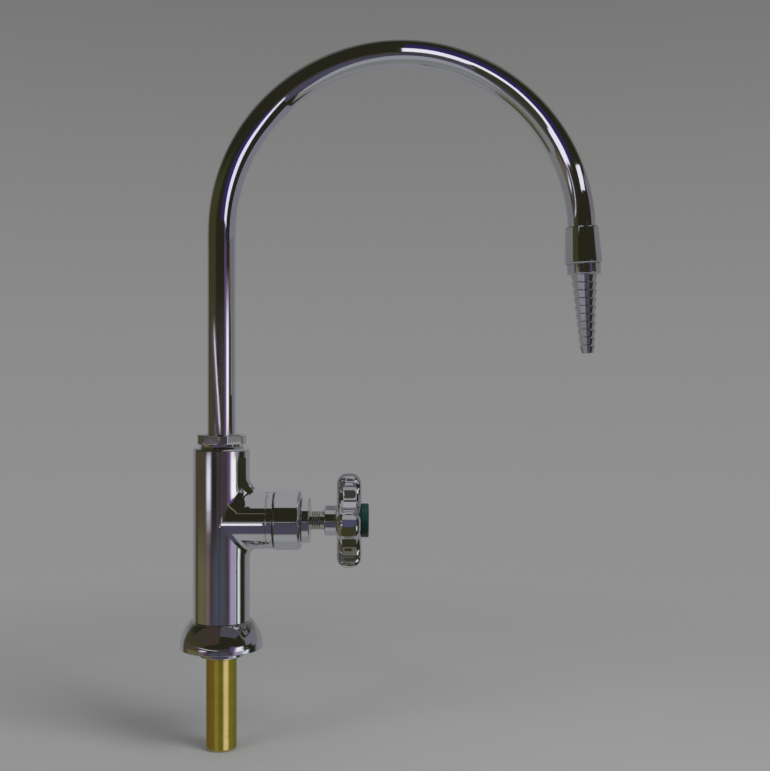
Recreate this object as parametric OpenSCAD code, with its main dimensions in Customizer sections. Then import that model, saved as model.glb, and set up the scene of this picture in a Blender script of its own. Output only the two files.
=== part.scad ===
// Deck-mounted fill faucet with a swinging gooseneck, a side compression valve
// and a serrated hose nozzle. Millimetres, +Z up. The origin is on the inlet
// axis at the deck face, which is the plane of the base flange's rim. The valve
// branch and the spout both point along +X.

/* [Inlet shank] */
// Outside diameter of the brass shank
shank_dia = 17.1; // [14:0.1:20]
// Bore through the shank
shank_bore = 11; // [6:0.1:12]
// Length of shank below the deck face
shank_drop = 57; // [35:1:120]
// Length of shank screwed into the body
shank_engage = 18; // [10:0.5:20]
// Chamfer at the shank's lower end
shank_chamfer = 1.2; // [0.4:0.1:2]
// Depth by which the shank's screwed end is turned down
shank_relief = 0.25; // [0.1:0.05:0.5]
// Length of turned-down shank left in view under the spigot
shank_neck = 1; // [0.4:0.1:3]
// Step from the shank's bore out to the wider passage above it
passage_step = 0.5; // [0.3:0.1:1]

/* [Base flange] */
// Diameter of the flange at its rim
flange_dia = 46.4; // [42:0.2:60]
// Height of the flange above the deck
flange_h = 15.1; // [12:0.1:22]
// Diameter of the flange at its top edge
flange_top_dia = 35; // [33:0.2:38]
// Height of the straight rim
flange_rim = 1.2; // [0.6:0.1:3]
// Wall of the domed skirt
flange_wall = 1.8; // [1:0.1:3]
// Thickness of the flange's top web
flange_web = 2.4; // [1.5:0.1:4]

/* [Body] */
// Diameter of the upright barrel and of the valve branch
body_dia = 31.8; // [30:0.1:32.8]
// Height of the barrel above the flange
barrel_h = 97; // [90:0.5:120]
// Distance of the branch axis below the barrel's top
branch_drop = 40.6; // [37:0.2:48]
// Reach of the branch from the barrel's axis
branch_reach = 29.7; // [28:0.1:40]
// Length of the ring turned on the branch's end
branch_ring = 3.2; // [2:0.1:5]
// Width of the groove behind that ring
ring_groove = 0.6; // [0.3:0.1:1]
// Diameter of the spigot that passes through the flange
spigot_dia = 25.2; // [23:0.1:28]
// Length of the spigot below the deck face
spigot_drop = 4.5; // [2:0.1:8]
// Radius of the fillet above the branch
fillet_top = 9; // [5:0.5:11]
// Radius of the fillet below the branch
fillet_low = 4.5; // [3:0.5:8]
// Rounding of the barrel's top edge
barrel_edge = 0.7; // [0.3:0.1:1.2]
// Depth of the groove behind the branch's ring
groove_depth = 0.5; // [0.3:0.1:1]

/* [Waterways] */
// Diameter of the water passages in the body
passage_dia = 8; // [6:0.1:8.6]
// Distance of the rising passage from the barrel's axis
passage_offset = 8; // [7.4:0.1:8.8]
// Distance from the barrel's axis to the face that carries the seat
seat_face = 9; // [8:0.1:10]
// Diameter of the valve chamber
chamber_dia = 22; // [20:0.2:23]
// Depth below the chamber's roof at which the rising passage starts
passage_dip = 2.6; // [2:0.1:4]

/* [Spout joint] */
// Depth of the nut's thread below the barrel's top
joint_depth = 11.1; // [9:0.1:13]
// Diameter of the nut's thread and of the neck seen under the hexagon
nut_neck_dia = 24.6; // [24:0.1:26]
// Height of neck that stays in view above the barrel
nut_neck_h = 2.5; // [1:0.1:5]
// Hexagon across its flats
nut_across = 27; // [25:0.1:30]
// Height of the hexagon
nut_hex_h = 5.3; // [4:0.1:9]
// Wall of the collar brazed to the tube
collar_wall = 2.4; // [2.1:0.1:2.5]
// Length of the collar below its flange
collar_len = 8.4; // [7:0.1:10]
// Thickness of the collar's flange
collar_flange_t = 3; // [2:0.1:4]
// Thickness of the friction washer under the nut
friction_t = 1.2; // [0.6:0.1:2]
// Section of the spout's sealing rings
o_ring_section = 1.8; // [1.4:0.1:2]
// Play of a sealing ring along its groove
o_ring_play = 0.3; // [0.1:0.05:0.4]
// Ledge at the collar's foot on which the tube stands
collar_step = 2; // [1:0.1:3]
// Free depth under the collar
socket_floor = 0.8; // [0.4:0.1:2]
// Turn of the hexagon's corner from the plane of the spout
nut_turn = 13; // [0:1:30]
// Chamfer on the hexagon's corners
nut_chamfer = 0.8; // [0.4:0.1:1.4]

/* [Gooseneck] */
// Outside diameter of the tube
tube_dia = 15.9; // [14:0.1:16.2]
// Wall of the tube
tube_wall = 1.2; // [0.8:0.1:2]
// Distance between the riser's axis and the far side of the arch
spread = 203.2; // [150:0.2:260]
// Straight length of tube above the barrel
riser_h = 120.5; // [60:0.5:200]
// Outward tilt of the outlet from the vertical
outlet_tilt = 2.64; // [0:0.01:12]

/* [Outlet coupling] */
// Length of the coupling
coupling_len = 20.8; // [19:0.1:26]
// Diameter of the coupling at its upper end
coupling_top_dia = 18.8; // [18.6:0.1:21]
// Diameter of the coupling at its lower end
coupling_low_dia = 21.1; // [20.4:0.1:24]
// Rounding of the coupling's shoulder
coupling_round = 1.1; // [0.4:0.1:1.2]
// Height of the straight land round the coupling's lower end
coupling_land = 1.1; // [0.6:0.1:3]
// Distance of the coupling from the arch's end
coupling_start = 0.6; // [0.2:0.1:20]
// Length of tube brazed into the coupling
tube_engage = 8.5; // [6:0.1:9]
// Diameter of the nozzle's thread
nozzle_thread_dia = 17.1; // [15.5:0.1:17.6]
// Length of the nozzle's thread
nozzle_thread_len = 9; // [6:0.1:9.5]

/* [Hose nozzle] */
// Diameter of the collar under the coupling
nozzle_collar_dia = 19.2; // [17.8:0.1:20.2]
// Height of that collar
nozzle_collar_h = 5.9; // [3:0.1:10]
// Number of serrations
barb_count = 10; // [4:1:14]
// Distance from one serration to the next
barb_pitch = 4.44; // [3:0.02:6]
// Largest diameter of the first serration
barb_top_dia = 15.1; // [13:0.1:16]
// Largest diameter of the last serration
barb_low_dia = 9; // [8:0.1:11]
// Depth of the ledge between two serrations
barb_ledge = 0.9; // [0.4:0.1:1.2]
// Length of the straight land on each serration
barb_land = 0.5; // [0.3:0.1:1]
// Bore of the nozzle
nozzle_bore = 4.6; // [3:0.1:4.8]

/* [Seat and washer] */
// Diameter of the seat's thread
seat_dia = 13.2; // [12:0.1:13.6]
// Length of the seat's thread
seat_len = 5; // [4:0.1:5.5]
// Width across the flats of the seat's hexagonal hole
seat_across = 7.2; // [6.4:0.1:7.4]
// Thickness of the seat's flange
seat_flange_t = 0.8; // [0.5:0.1:1.2]
// Width of the seat's flange beyond its thread
seat_flange_w = 1.3; // [0.8:0.1:1.8]
// Height of the seat's raised lip
seat_lip = 0.6; // [0.3:0.1:0.8]
// Width of the lip
lip_w = 1; // [0.6:0.1:1.4]
// Distance of the lip from the corners of the hexagonal hole
lip_margin = 0.3; // [0.1:0.1:0.6]
// Diameter of the rubber washer
washer_dia = 12; // [11.4:0.1:12.6]
// Thickness of the rubber washer
washer_t = 3.2; // [2.6:0.1:3.6]
// Wall of the cup that holds the washer
cup_wall = 1.2; // [0.8:0.1:1.5]
// Depth of the cup's rim round the washer
cup_rim = 2; // [1:0.1:2.4]
// Thickness of the cup's floor
cup_floor = 2; // [1.6:0.1:2.4]
// Diameter of the holder's pivot in the stem
pivot_dia = 5.2; // [4.8:0.1:5.4]
// Length of that pivot
pivot_len = 5; // [4.6:0.1:5.6]
// Distance of the retaining ring from the pivot's root
ring_place = 3.4; // [3:0.1:3.6]
// Diameter of the wire of the retaining ring
ring_wire = 0.8; // [0.6:0.1:0.9]
// Distance of the wire's centre outside the pivot's surface
ring_stand = 0.1; // [0:0.05:0.2]
// Opening of the retaining ring, in degrees
ring_opening = 40; // [20:1:90]
// Diameter of the washer screw's thread
washer_screw_dia = 3; // [2:0.1:3.2]
// Diameter of the washer screw's head
washer_screw_head = 6; // [5:0.1:6.2]
// Thickness of the washer screw's head
screw_head_t = 1.2; // [0.8:0.1:1.6]
// Length of the washer screw's thread in the holder
screw_reach = 4.4; // [3:0.1:5]
// Width of the washer screw's slot
small_slot_w = 0.8; // [0.5:0.1:1.2]
// Depth of the washer screw's slot
small_slot_depth = 0.6; // [0.3:0.1:0.7]

/* [Stem and bonnet] */
// Advance of the stem in one turn of the handle
stem_lead = 2.5; // [1:0.05:2.6]
// Turns of the handle from closed to fully open
stem_turns = 1.5; // [0.5:0.25:1.5]
// Diameter of the stem's thread
stem_thread_dia = 12; // [11.6:0.1:12.6]
// Diameter of the stem's shaft
stem_dia = 10.4; // [10:0.1:11]
// Length of the plain head at the stem's inner end
stem_head_len = 2.3; // [1.5:0.1:4]
// Depth by which that head is turned down
head_relief = 0.4; // [0.2:0.1:0.6]
// Diameter of the bonnet
bonnet_dia = 33.2; // [32:0.1:36]
// Length of the bonnet outside the branch
bonnet_len = 14.9; // [13.5:0.1:20]
// Chamfer at the bonnet's back
bonnet_back_edge = 0.7; // [0.3:0.1:1.2]
// Chamfer at the bonnet's front
bonnet_chamfer = 2.2; // [1:0.1:3]
// Diameter of the bonnet's thread
bonnet_thread_dia = 25.8; // [25:0.1:26.6]
// Length of the bonnet's thread
bonnet_thread_len = 9; // [7:0.1:9.5]
// Thickness of the gasket under the bonnet
gasket_t = 0.6; // [0.4:0.1:1.2]
// Distance by which the gasket's edge stays inside the branch's
gasket_inset = 0.5; // [0.2:0.1:1]
// Diameter of the packing box
packing_dia = 19; // [17:0.1:20]
// Depth of the packing box
packing_depth = 11.2; // [10:0.1:12]
// Length of the packing
packing_t = 4; // [2:0.1:5]
// Thickness of the gland ring on the packing
gland_t = 1.4; // [0.8:0.1:2]
// Diameter of the packing nut's head
packing_nut_dia = 25.1; // [23:0.1:28]
// Length of the packing nut's head
packing_nut_len = 4.8; // [3.5:0.1:6]
// Chamfer on both edges of the packing nut
packing_nut_chamfer = 0.7; // [0.3:0.1:1]

/* [Handle] */
// Length of stem in view between the packing nut and the handle
stem_show = 8.1; // [5:0.1:14]
// Diameter of the handle's hub
hub_dia = 17.1; // [14:0.1:20]
// Length of the hub behind the arms
hub_len = 6.9; // [4:0.1:10]
// Chamfer at the hub's back
hub_chamfer = 0.8; // [0.3:0.1:1.5]
// Depth of the stem's round seat in the hub
hub_seat = 2; // [1:0.1:4]
// Thickness of the web under the handle screw's head
web_t = 2.5; // [2:0.1:2.8]
// Thickness of the arms
arm_t = 13.8; // [13:0.1:16]
// Rounding of the arms' tips and edges
arm_round = 5.8; // [3:0.1:6.4]
// Diameter of the circle round the arms' tips
handle_dia = 53; // [50:0.5:70]
// Distance from the handle's axis to the scallops' centres along each arm
scallop_centre = 17; // [16.6:0.1:17.6]
// Width of each arm at its waist
arm_waist = 12; // [10:0.1:14]
// Width across the flats of the stem's square end
square_across = 7.4; // [6:0.1:7.8]
// Length of the stem's square end
square_len = 11.8; // [8:0.1:11.8]
// Depth by which the square's corners are turned down
square_trim = 0.2; // [0.1:0.1:0.5]
// Diameter of the handle screw's thread
handle_screw_dia = 4; // [3:0.1:4.4]
// Length of the handle screw's thread
handle_screw_len = 10.6; // [8:0.1:12]
// Diameter of the handle screw's head
handle_screw_head = 8; // [6:0.1:8.6]
// Height of the handle screw's head
screw_head_h = 1.5; // [1:0.1:1.8]
// Width of the handle screw's slot
slot_w = 1; // [0.8:0.1:1.4]
// Depth of the handle screw's slot
slot_depth = 0.7; // [0.4:0.1:0.9]
// Diameter of the index button
button_dia = 19; // [17:0.1:22]
// Thickness of the index button
button_t = 4.1; // [2:0.1:6]
// Chamfer on the index button's face
button_edge = 0.6; // [0.3:0.1:1.5]
// Diameter of the plug behind the index button
plug_dia = 15.8; // [14:0.1:16.6]
// Length of that plug
plug_len = 2; // [1:0.1:2.4]

/* [Clearances] */
// Radial clearance in a screwed, brazed or pressed joint
joint_gap = 0.05; // [0.02:0.01:0.1]
// Radial clearance of a turning or sliding fit
running_gap = 0.06; // [0.03:0.01:0.09]
// Gap left behind the stem's thread when the valve is fully open
backstop_gap = 0.5; // [0.2:0.1:1]
// Gap between faces that turn past each other
face_gap = 0.1; // [0.05:0.01:0.2]
// Clearance round the retaining ring in the stem's groove
ring_slack = 0.15; // [0.1:0.05:0.25]
// Radial clearance round a piece that passes freely
free_gap = 0.4; // [0.2:0.05:0.6]

/* [Edges] */
// Chamfer on threads and on most turned ends
edge_break = 0.5; // [0.2:0.1:0.7]
// Chamfer on narrow flanges and small ends
fine_edge = 0.3; // [0.1:0.1:0.4]

/* [Hidden] */
$fn = 96;
// Overlap that lets one cut run cleanly past a face
over = 1;
// Overlap that joins two shapes which would only touch
hair = 0.01;

// Radii of the round pieces
shank_r = shank_dia / 2;
shank_thread_r = shank_r - shank_relief;
shank_bore_r = shank_bore / 2;
flange_r = flange_dia / 2;
body_r = body_dia / 2;
spigot_r = spigot_dia / 2;
passage_r = passage_dia / 2;
chamber_r = chamber_dia / 2;
nut_neck_r = nut_neck_dia / 2;
tube_r = tube_dia / 2;
tube_bore_r = tube_r - tube_wall;
arch_r = spread / 2;
seat_r = seat_dia / 2;
washer_r = washer_dia / 2;
pivot_r = pivot_dia / 2;
stem_r = stem_dia / 2;
stem_thread_r = stem_thread_dia / 2;
bonnet_r = bonnet_dia / 2;
bonnet_thread_r = bonnet_thread_dia / 2;
packing_r = packing_dia / 2;
hub_r = hub_dia / 2;
handle_r = handle_dia / 2;

// Heights on the barrel's axis
barrel_top = flange_h + barrel_h;
branch_z = barrel_top - branch_drop;
shank_top = shank_engage - spigot_drop;
collar_seat_z = barrel_top - joint_depth;
collar_low_z = collar_seat_z + face_gap - collar_len;
collar_top_z = collar_seat_z + face_gap + collar_flange_t;
friction_z = collar_top_z + face_gap;
nut_low_z = friction_z + friction_t;
nut_hex_z = barrel_top + nut_neck_h;
nut_top_z = nut_hex_z + nut_hex_h;
arch_z = barrel_top + riser_h;

// Spout joint, radii
collar_r = tube_r + joint_gap + collar_wall;
collar_flange_r = nut_neck_r - free_gap;
socket_low_z = collar_low_z - socket_floor;
o_ring_r = o_ring_section / 2;
o_ring_centre = collar_r + running_gap / 2 - o_ring_r;
o_ring_rows = [0.3, 0.7];
groove_w = o_ring_section + o_ring_play;
groove_floor = o_ring_centre - o_ring_r - joint_gap;

// Arch of the tube
bend_thinning = 0.02;
bend_lap = 0.6;

// Domed skirt: an arc that meets the straight rim and the top edge
dome_h = flange_h - flange_rim;
dome_centre = (pow(flange_r, 2) - pow(flange_top_dia / 2, 2) - pow(dome_h, 2))
    / (flange_dia - flange_top_dia);
dome_r = flange_r - dome_centre;

// Places down the outlet's axis, from the arch's end
coupling_end = coupling_start + coupling_len;
tube_stop = coupling_start + tube_engage + face_gap;
thread_start = coupling_end - nozzle_thread_len;
nozzle_collar_end = coupling_end + nozzle_collar_h;
nozzle_tip = nozzle_collar_end + barb_count * barb_pitch;

// Places along the branch's axis, from the barrel's axis outwards
lip_x = seat_face + seat_flange_t + seat_lip;
washer_x = lip_x + joint_gap;
cup_x = washer_x + washer_t;
pivot_x = cup_x + cup_floor;
stem_x = pivot_x + face_gap;
rise = stem_lead * stem_turns;
gasket_x = branch_reach;
bonnet_x = gasket_x + gasket_t;
bonnet_inner_x = gasket_x - bonnet_thread_len;
bonnet_front_x = bonnet_x + bonnet_len;
packing_x = bonnet_front_x - packing_depth;
gland_x = packing_x + packing_t;
packing_nut_x = gland_x + gland_t;
nut_head_x = bonnet_front_x + face_gap;
nut_front_x = nut_head_x + packing_nut_len;
hub_x = nut_front_x + stem_show;
arm_x = hub_x + hub_len;
handle_front_x = arm_x + arm_t;
thread_end_x = packing_x - rise - backstop_gap;
square_x = hub_x + hub_seat;
square_end_x = square_x + square_len;

// Washer, holder and stem end
cup_r = washer_r + joint_gap + cup_wall;
lip_inner_r = seat_across / sqrt(3) + lip_margin;
lip_outer_r = lip_inner_r + lip_w;
seat_flange_r = seat_r + seat_flange_w;
socket_r = pivot_r + running_gap;
ring_x = pivot_x + ring_place;
ring_centre = pivot_r + ring_stand;
stem_head_r = stem_thread_r - head_relief;

// Handle
scallop_r = scallop_centre - arm_waist / 2;
web_x = square_end_x + face_gap;
screw_seat_x = web_x + web_t;
screw_head_x = screw_seat_x + screw_head_h;
plug_floor_x = handle_front_x - plug_len - face_gap;

// Tee of the casting. It is a hair slimmer than the turned barrel, so that its
// ends lie inside the barrel's
tee_r = body_r - 2 * hair;
tee_lap = 0.5;
tee_margin = 2;
tee_low = body_r + fillet_low + tee_margin;
tee_high = body_r + fillet_top + tee_margin;
tee_end = branch_reach - branch_ring - ring_groove;
tee_sides = 64;
fillet_steps = 8;

// Ring of square section: r0 to r1, z0 to z1
module band(r0, r1, z0, z1) {
    translate([0, 0, z0])
        difference() {
            cylinder(r = r1, h = z1 - z0);
            translate([0, 0, -over])
                cylinder(r = r0, h = z1 - z0 + 2 * over);
        }
}

// Shaft with a chamfer at either end: c0 at the start, c1 at the finish
module shaft(r, z0, z1, c0 = 0, c1 = 0) {
    rotate_extrude()
        polygon([
            [0, z0],
            [r - c0, z0],
            [r, z0 + c0],
            [r, z1 - c1],
            [r - c1, z1],
            [0, z1]
        ]);
}

// Round hole that runs from z0 to z1
module hole(r, z0, z1) {
    translate([0, 0, z0])
        cylinder(r = r, h = z1 - z0);
}

// Frame of the valve: local +Z runs out along the branch
module on_branch() {
    translate([0, 0, branch_z])
        rotate([0, 90, 0])
            children();
}

// Frame of the outlet: local +Z runs down the nozzle from the arch's end
module at_outlet() {
    translate([arch_r * (1 + cos(outlet_tilt)), 0, arch_z + arch_r * sin(outlet_tilt)])
        rotate([0, 180 - outlet_tilt, 0])
            children();
}

// Round that fills a corner of the tee: centre (sx, sz) * (r + radius), from
// angle a0 to a1
function corner_arc(radius, sx, sz, a0, a1) =
    [for (i = [0 : fillet_steps])
        let (a = a0 + (a1 - a0) * i / fillet_steps)
        [sx * (tee_r + radius) + radius * cos(a), sz * (tee_r + radius) + radius * sin(a)]];

// Section of the tee at the sine and cosine of its distance from the plane of
// symmetry. The pipes' half width and the rounds shrink with the cosine, and
// the tee's three ends stay where they are
function tee_section(s, c) =
    let (
        low = corner_arc(fillet_low, 1, -1, 180, 90),
        high = corner_arc(fillet_top, 1, 1, 270, 180),
        outline = concat(
            [[c * tee_r, -tee_low]],
            c * low,
            [[tee_end, -c * tee_r], [tee_end, c * tee_r]],
            c * high,
            [[c * tee_r, tee_high], [-c * tee_r, tee_high], [-c * tee_r, -tee_low]]
        )
    )
    [for (p = outline) [p[0], s * tee_r, p[1]]];

// Middle of the casting: two equal pipes that cross, with a fillet that fades
// out towards the sides
module tee() {
    n = 2 * fillet_steps + 8;
    turns = [for (i = [0 : tee_sides / 2 - 1])
        -90 + 360 / tee_sides * (i + 0.5)];
    rows = len(turns);
    sections = [for (t = turns) each tee_section(sin(t), cos(t))];
    hubs = [for (t = [turns[0], turns[rows - 1]]) [0, sin(t) * tee_r, 0]];
    sides = [for (j = [0 : rows - 2], i = [0 : n - 1])
        [j * n + i, j * n + (i + 1) % n, (j + 1) * n + (i + 1) % n, (j + 1) * n + i]];
    near_cap = [for (i = [0 : n - 1]) [rows * n, (i + 1) % n, i]];
    far_cap = [for (i = [0 : n - 1])
        [rows * n + 1, (rows - 1) * n + i, (rows - 1) * n + (i + 1) % n]];
    polyhedron(concat(sections, hubs), concat(sides, near_cap, far_cap), convexity = 4);
}

// Outside of the casting: barrel, spigot, tee and the branch's end
module casting() {
    shaft(body_r, flange_h, branch_z - tee_low + tee_lap);
    shaft(body_r, branch_z + tee_high - tee_lap, barrel_top, 0, barrel_edge);
    shaft(spigot_r, -spigot_drop, flange_h + over, edge_break, 0);
    translate([0, 0, branch_z])
        tee();
    on_branch() {
        shaft(body_r - groove_depth, tee_end - over, branch_reach - over);
        shaft(body_r, branch_reach - branch_ring, branch_reach, fine_edge, fine_edge);
    }
}

// Brass casting with its waterways, seats and sockets
module body() {
    color([0.80, 0.80, 0.83])
    difference() {
        casting();
        // Inlet: socket for the shank, then the passage up to the seat
        hole(shank_thread_r + joint_gap, -spigot_drop - over, shank_top);
        hole(shank_bore_r + passage_step, shank_top - over, branch_z);
        on_branch() {
            hole(seat_across / 2, 0, seat_face);
            hole(seat_r + joint_gap, seat_face - seat_len - face_gap, seat_face + over);
            hole(chamber_r, seat_face, branch_reach);
            hole(bonnet_thread_r + joint_gap, bonnet_inner_x - over, branch_reach + over);
        }
        // Outlet: passage from the chamber's roof to the spout's socket
        translate([passage_offset, 0, 0])
            hole(passage_r, branch_z + chamber_r - passage_dip, socket_low_z + over);
        hole(collar_r + running_gap, socket_low_z, collar_seat_z + over);
        hole(nut_neck_r + joint_gap, collar_seat_z, barrel_top + over);
    }
}

// Domed flange that covers the hole in the deck
module base_flange() {
    color([0.80, 0.80, 0.83])
    rotate_extrude()
        difference() {
            union() {
                square([flange_r, flange_rim]);
                intersection() {
                    translate([dome_centre, flange_rim])
                        circle(r = dome_r);
                    translate([0, flange_rim])
                        square([flange_r, dome_h]);
                }
            }
            // Hollow of the dome
            intersection() {
                translate([dome_centre, flange_rim])
                    circle(r = dome_r - flange_wall);
                translate([0, flange_rim])
                    square([flange_r, dome_h - flange_web]);
            }
            translate([0, -over])
                square([flange_r - flange_wall, flange_rim + over + hair]);
            // Hole that the spigot passes through
            square([spigot_r + joint_gap, flange_h + over]);
        }
}

// Threaded brass tube that carries the faucet and brings the water
module inlet_shank() {
    color([0.76, 0.64, 0.32])
    difference() {
        union() {
            shaft(shank_r, -shank_drop, -spigot_drop - shank_neck, shank_chamfer, 0);
            shaft(shank_thread_r, -spigot_drop - shank_neck - over, shank_top, 0, edge_break);
        }
        hole(shank_bore_r, -shank_drop - over, shank_top + over);
    }
}

// Hexagonal nut that holds the spout down in the barrel
module swivel_nut() {
    color([0.80, 0.80, 0.83])
    difference() {
        union() {
            shaft(nut_neck_r, nut_low_z, nut_hex_z + over, edge_break, 0);
            intersection() {
                translate([0, 0, nut_hex_z])
                    rotate([0, 0, -90 + nut_turn])
                        cylinder(r = nut_across / sqrt(3), h = nut_hex_h, $fn = 6);
                shaft(nut_across / sqrt(3), nut_hex_z - over, nut_top_z, 0, nut_chamfer);
                shaft(nut_across / sqrt(3), nut_hex_z, nut_top_z + over, nut_chamfer, 0);
            }
        }
        hole(tube_r + free_gap, nut_low_z - over, nut_top_z + over);
    }
}

// Low-friction washer between the nut and the collar
module friction_washer() {
    color([0.93, 0.93, 0.90])
    band(tube_r + free_gap, collar_flange_r, friction_z, nut_low_z);
}

// Collar brazed to the foot of the tube, with two grooves for sealing rings
module spout_collar() {
    color([0.80, 0.69, 0.40])
    difference() {
        union() {
            shaft(collar_r, collar_low_z, collar_top_z, edge_break, 0);
            shaft(collar_flange_r, collar_seat_z + face_gap, collar_top_z, 0, fine_edge);
        }
        hole(tube_bore_r, collar_low_z - over, collar_top_z + over);
        hole(tube_r + joint_gap, collar_low_z + collar_step, collar_top_z + over);
        for (row = o_ring_rows)
            band(groove_floor, collar_r + over,
                collar_low_z + row * collar_len - groove_w / 2,
                collar_low_z + row * collar_len + groove_w / 2);
    }
}

// Two rubber rings that seal the collar in its socket
module spout_o_rings() {
    color([0.06, 0.06, 0.06])
    for (row = o_ring_rows)
        translate([0, 0, collar_low_z + row * collar_len])
            rotate_extrude()
                translate([o_ring_centre, 0])
                    circle(r = o_ring_r, $fn = 32);
}

// Bent tube: straight riser, arch and short straight tail. The wall of the arch
// is a hair thinner, as bending leaves it, so that its ends lie inside the
// straight walls
module gooseneck_tube() {
    lap_turn = bend_lap / arch_r * 180 / PI;
    color([0.80, 0.80, 0.83]) {
        band(tube_bore_r, tube_r, collar_low_z + collar_step + joint_gap, arch_z);
        translate([arch_r, 0, arch_z])
            rotate([90, 0, 0])
                rotate([0, 0, outlet_tilt - lap_turn])
                    rotate_extrude(angle = 180 - outlet_tilt + 2 * lap_turn)
                        translate([arch_r, 0])
                            difference() {
                                circle(r = tube_r - bend_thinning);
                                circle(r = tube_bore_r + bend_thinning);
                            }
        at_outlet()
            band(tube_bore_r, tube_r, 0, coupling_start + tube_engage);
    }
}

// Tapered end fitting brazed to the tube and tapped for the nozzle
module outlet_coupling() {
    top_r = coupling_top_dia / 2;
    low_r = coupling_low_dia / 2;
    color([0.80, 0.80, 0.83])
    at_outlet()
        difference() {
            rotate_extrude()
                union() {
                    polygon([
                        [0, coupling_start + coupling_round],
                        [top_r, coupling_start + coupling_round],
                        [low_r, coupling_end - edge_break - coupling_land],
                        [low_r, coupling_end - edge_break],
                        [low_r - edge_break, coupling_end],
                        [0, coupling_end]
                    ]);
                    round_shoulder(top_r);
                }
            hole(tube_r + joint_gap, coupling_start - over, tube_stop);
            hole(tube_bore_r, tube_stop - over, coupling_end);
            hole(nozzle_thread_dia / 2 + joint_gap, thread_start - face_gap, coupling_end + over);
        }
}

// Quarter round that softens the coupling's upper edge
module round_shoulder(top_r) {
    translate([0, coupling_start])
        square([top_r - coupling_round, coupling_round + hair]);
    intersection() {
        translate([top_r - coupling_round, coupling_start + coupling_round])
            circle(r = coupling_round, $fn = 48);
        translate([top_r - coupling_round, coupling_start])
            square([coupling_round, coupling_round + hair]);
    }
}

// Serrated nozzle that a hose is pushed over
module hose_nozzle() {
    top_r = barb_top_dia / 2;
    fall = (barb_top_dia - barb_low_dia) / 2 / (barb_count - 1);
    barbs = [for (k = [0 : barb_count - 1])
        let (r = top_r - k * fall, w = nozzle_collar_end + k * barb_pitch)
        each [[r, w], [r, w + barb_land], [r - barb_ledge - fall, w + barb_pitch]]];
    color([0.78, 0.78, 0.81])
    at_outlet()
        difference() {
            union() {
                shaft(nozzle_thread_dia / 2, thread_start, coupling_end + over, edge_break, 0);
                shaft(nozzle_collar_dia / 2, coupling_end + joint_gap, nozzle_collar_end,
                    fine_edge, edge_break);
                rotate_extrude()
                    polygon(concat([[0, nozzle_collar_end - over]],
                        [[top_r, nozzle_collar_end - over]], barbs, [[0, nozzle_tip]]));
            }
            hole(nozzle_bore / 2, thread_start - over, nozzle_tip + over);
        }
}

// Renewable seat with a raised lip, turned in by its hexagonal hole
module valve_seat() {
    color([0.80, 0.69, 0.40])
    on_branch()
        difference() {
            union() {
                shaft(seat_r, seat_face - seat_len, seat_face + seat_flange_t / 2, edge_break, 0);
                shaft(seat_flange_r, seat_face, seat_face + seat_flange_t);
                shaft(lip_outer_r, seat_face + seat_flange_t / 2, lip_x, 0, fine_edge);
            }
            hole_hex(seat_across, seat_face - seat_len - over, lip_x + over);
            hole(lip_inner_r, seat_face + seat_flange_t, lip_x + over);
        }
}

// Hexagonal hole, across its flats
module hole_hex(across, z0, z1) {
    translate([0, 0, z0])
        cylinder(r = across / sqrt(3), h = z1 - z0, $fn = 6);
}

// Rubber washer that closes on the seat's lip
module seat_washer() {
    color([0.05, 0.05, 0.05])
    on_branch()
        band(washer_screw_dia / 2 + joint_gap, washer_r, washer_x, cup_x);
}

// Screw that holds the rubber washer in its cup
module washer_screw() {
    color([0.70, 0.70, 0.72])
    on_branch()
        difference() {
            union() {
                shaft(washer_screw_head / 2, washer_x - screw_head_t, washer_x, fine_edge, 0);
                shaft(washer_screw_dia / 2, washer_x - screw_head_t / 2, cup_x + screw_reach, 0, fine_edge);
            }
            translate([-washer_screw_head, -small_slot_w / 2, washer_x - screw_head_t - over])
                cube([2 * washer_screw_head, small_slot_w, over + small_slot_depth]);
        }
}

// Cup and pivot that carry the washer without turning it on the seat
module washer_holder() {
    color([0.80, 0.69, 0.40])
    on_branch()
        difference() {
            union() {
                shaft(cup_r, cup_x - cup_rim, pivot_x, fine_edge, fine_edge);
                shaft(pivot_r, pivot_x - over, pivot_x + pivot_len, 0, fine_edge);
            }
            hole(washer_r + joint_gap, cup_x - cup_rim - over, cup_x);
            hole(washer_screw_dia / 2 + joint_gap, cup_x - over, cup_x + screw_reach + free_gap);
            band(ring_centre - ring_wire / 2 - joint_gap, pivot_r + over,
                ring_x - ring_wire / 2 - face_gap, ring_x + ring_wire / 2 + face_gap);
        }
}

// Wire ring that keeps the holder in the stem
module holder_ring() {
    color([0.70, 0.70, 0.72])
    on_branch()
        translate([0, 0, ring_x])
            rotate([0, 0, ring_opening / 2])
                rotate_extrude(angle = 360 - ring_opening)
                    translate([ring_centre, 0])
                        circle(r = ring_wire / 2, $fn = 24);
}

// Threaded stem with a socket for the holder and a square end for the handle
module stem() {
    color([0.80, 0.69, 0.40])
    on_branch()
        difference() {
            union() {
                shaft(stem_head_r, stem_x, stem_x + stem_head_len + over, fine_edge, 0);
                shaft(stem_thread_r, stem_x + stem_head_len, thread_end_x, fine_edge, fine_edge);
                shaft(stem_r, thread_end_x - over, square_x);
                intersection() {
                    translate([-square_across / 2, -square_across / 2, square_x - over])
                        cube([square_across, square_across, square_len + over]);
                    shaft(stem_r - square_trim, square_x - over, square_end_x, 0, edge_break);
                }
            }
            hole(socket_r, stem_x - over, pivot_x + pivot_len + free_gap);
            hole(ring_centre + ring_wire / 2 + ring_slack,
                ring_x - ring_wire / 2 - ring_slack, ring_x + ring_wire / 2 + ring_slack);
            hole(handle_screw_dia / 2 + joint_gap,
                screw_seat_x - handle_screw_len - over, square_end_x + over);
        }
}

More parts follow.
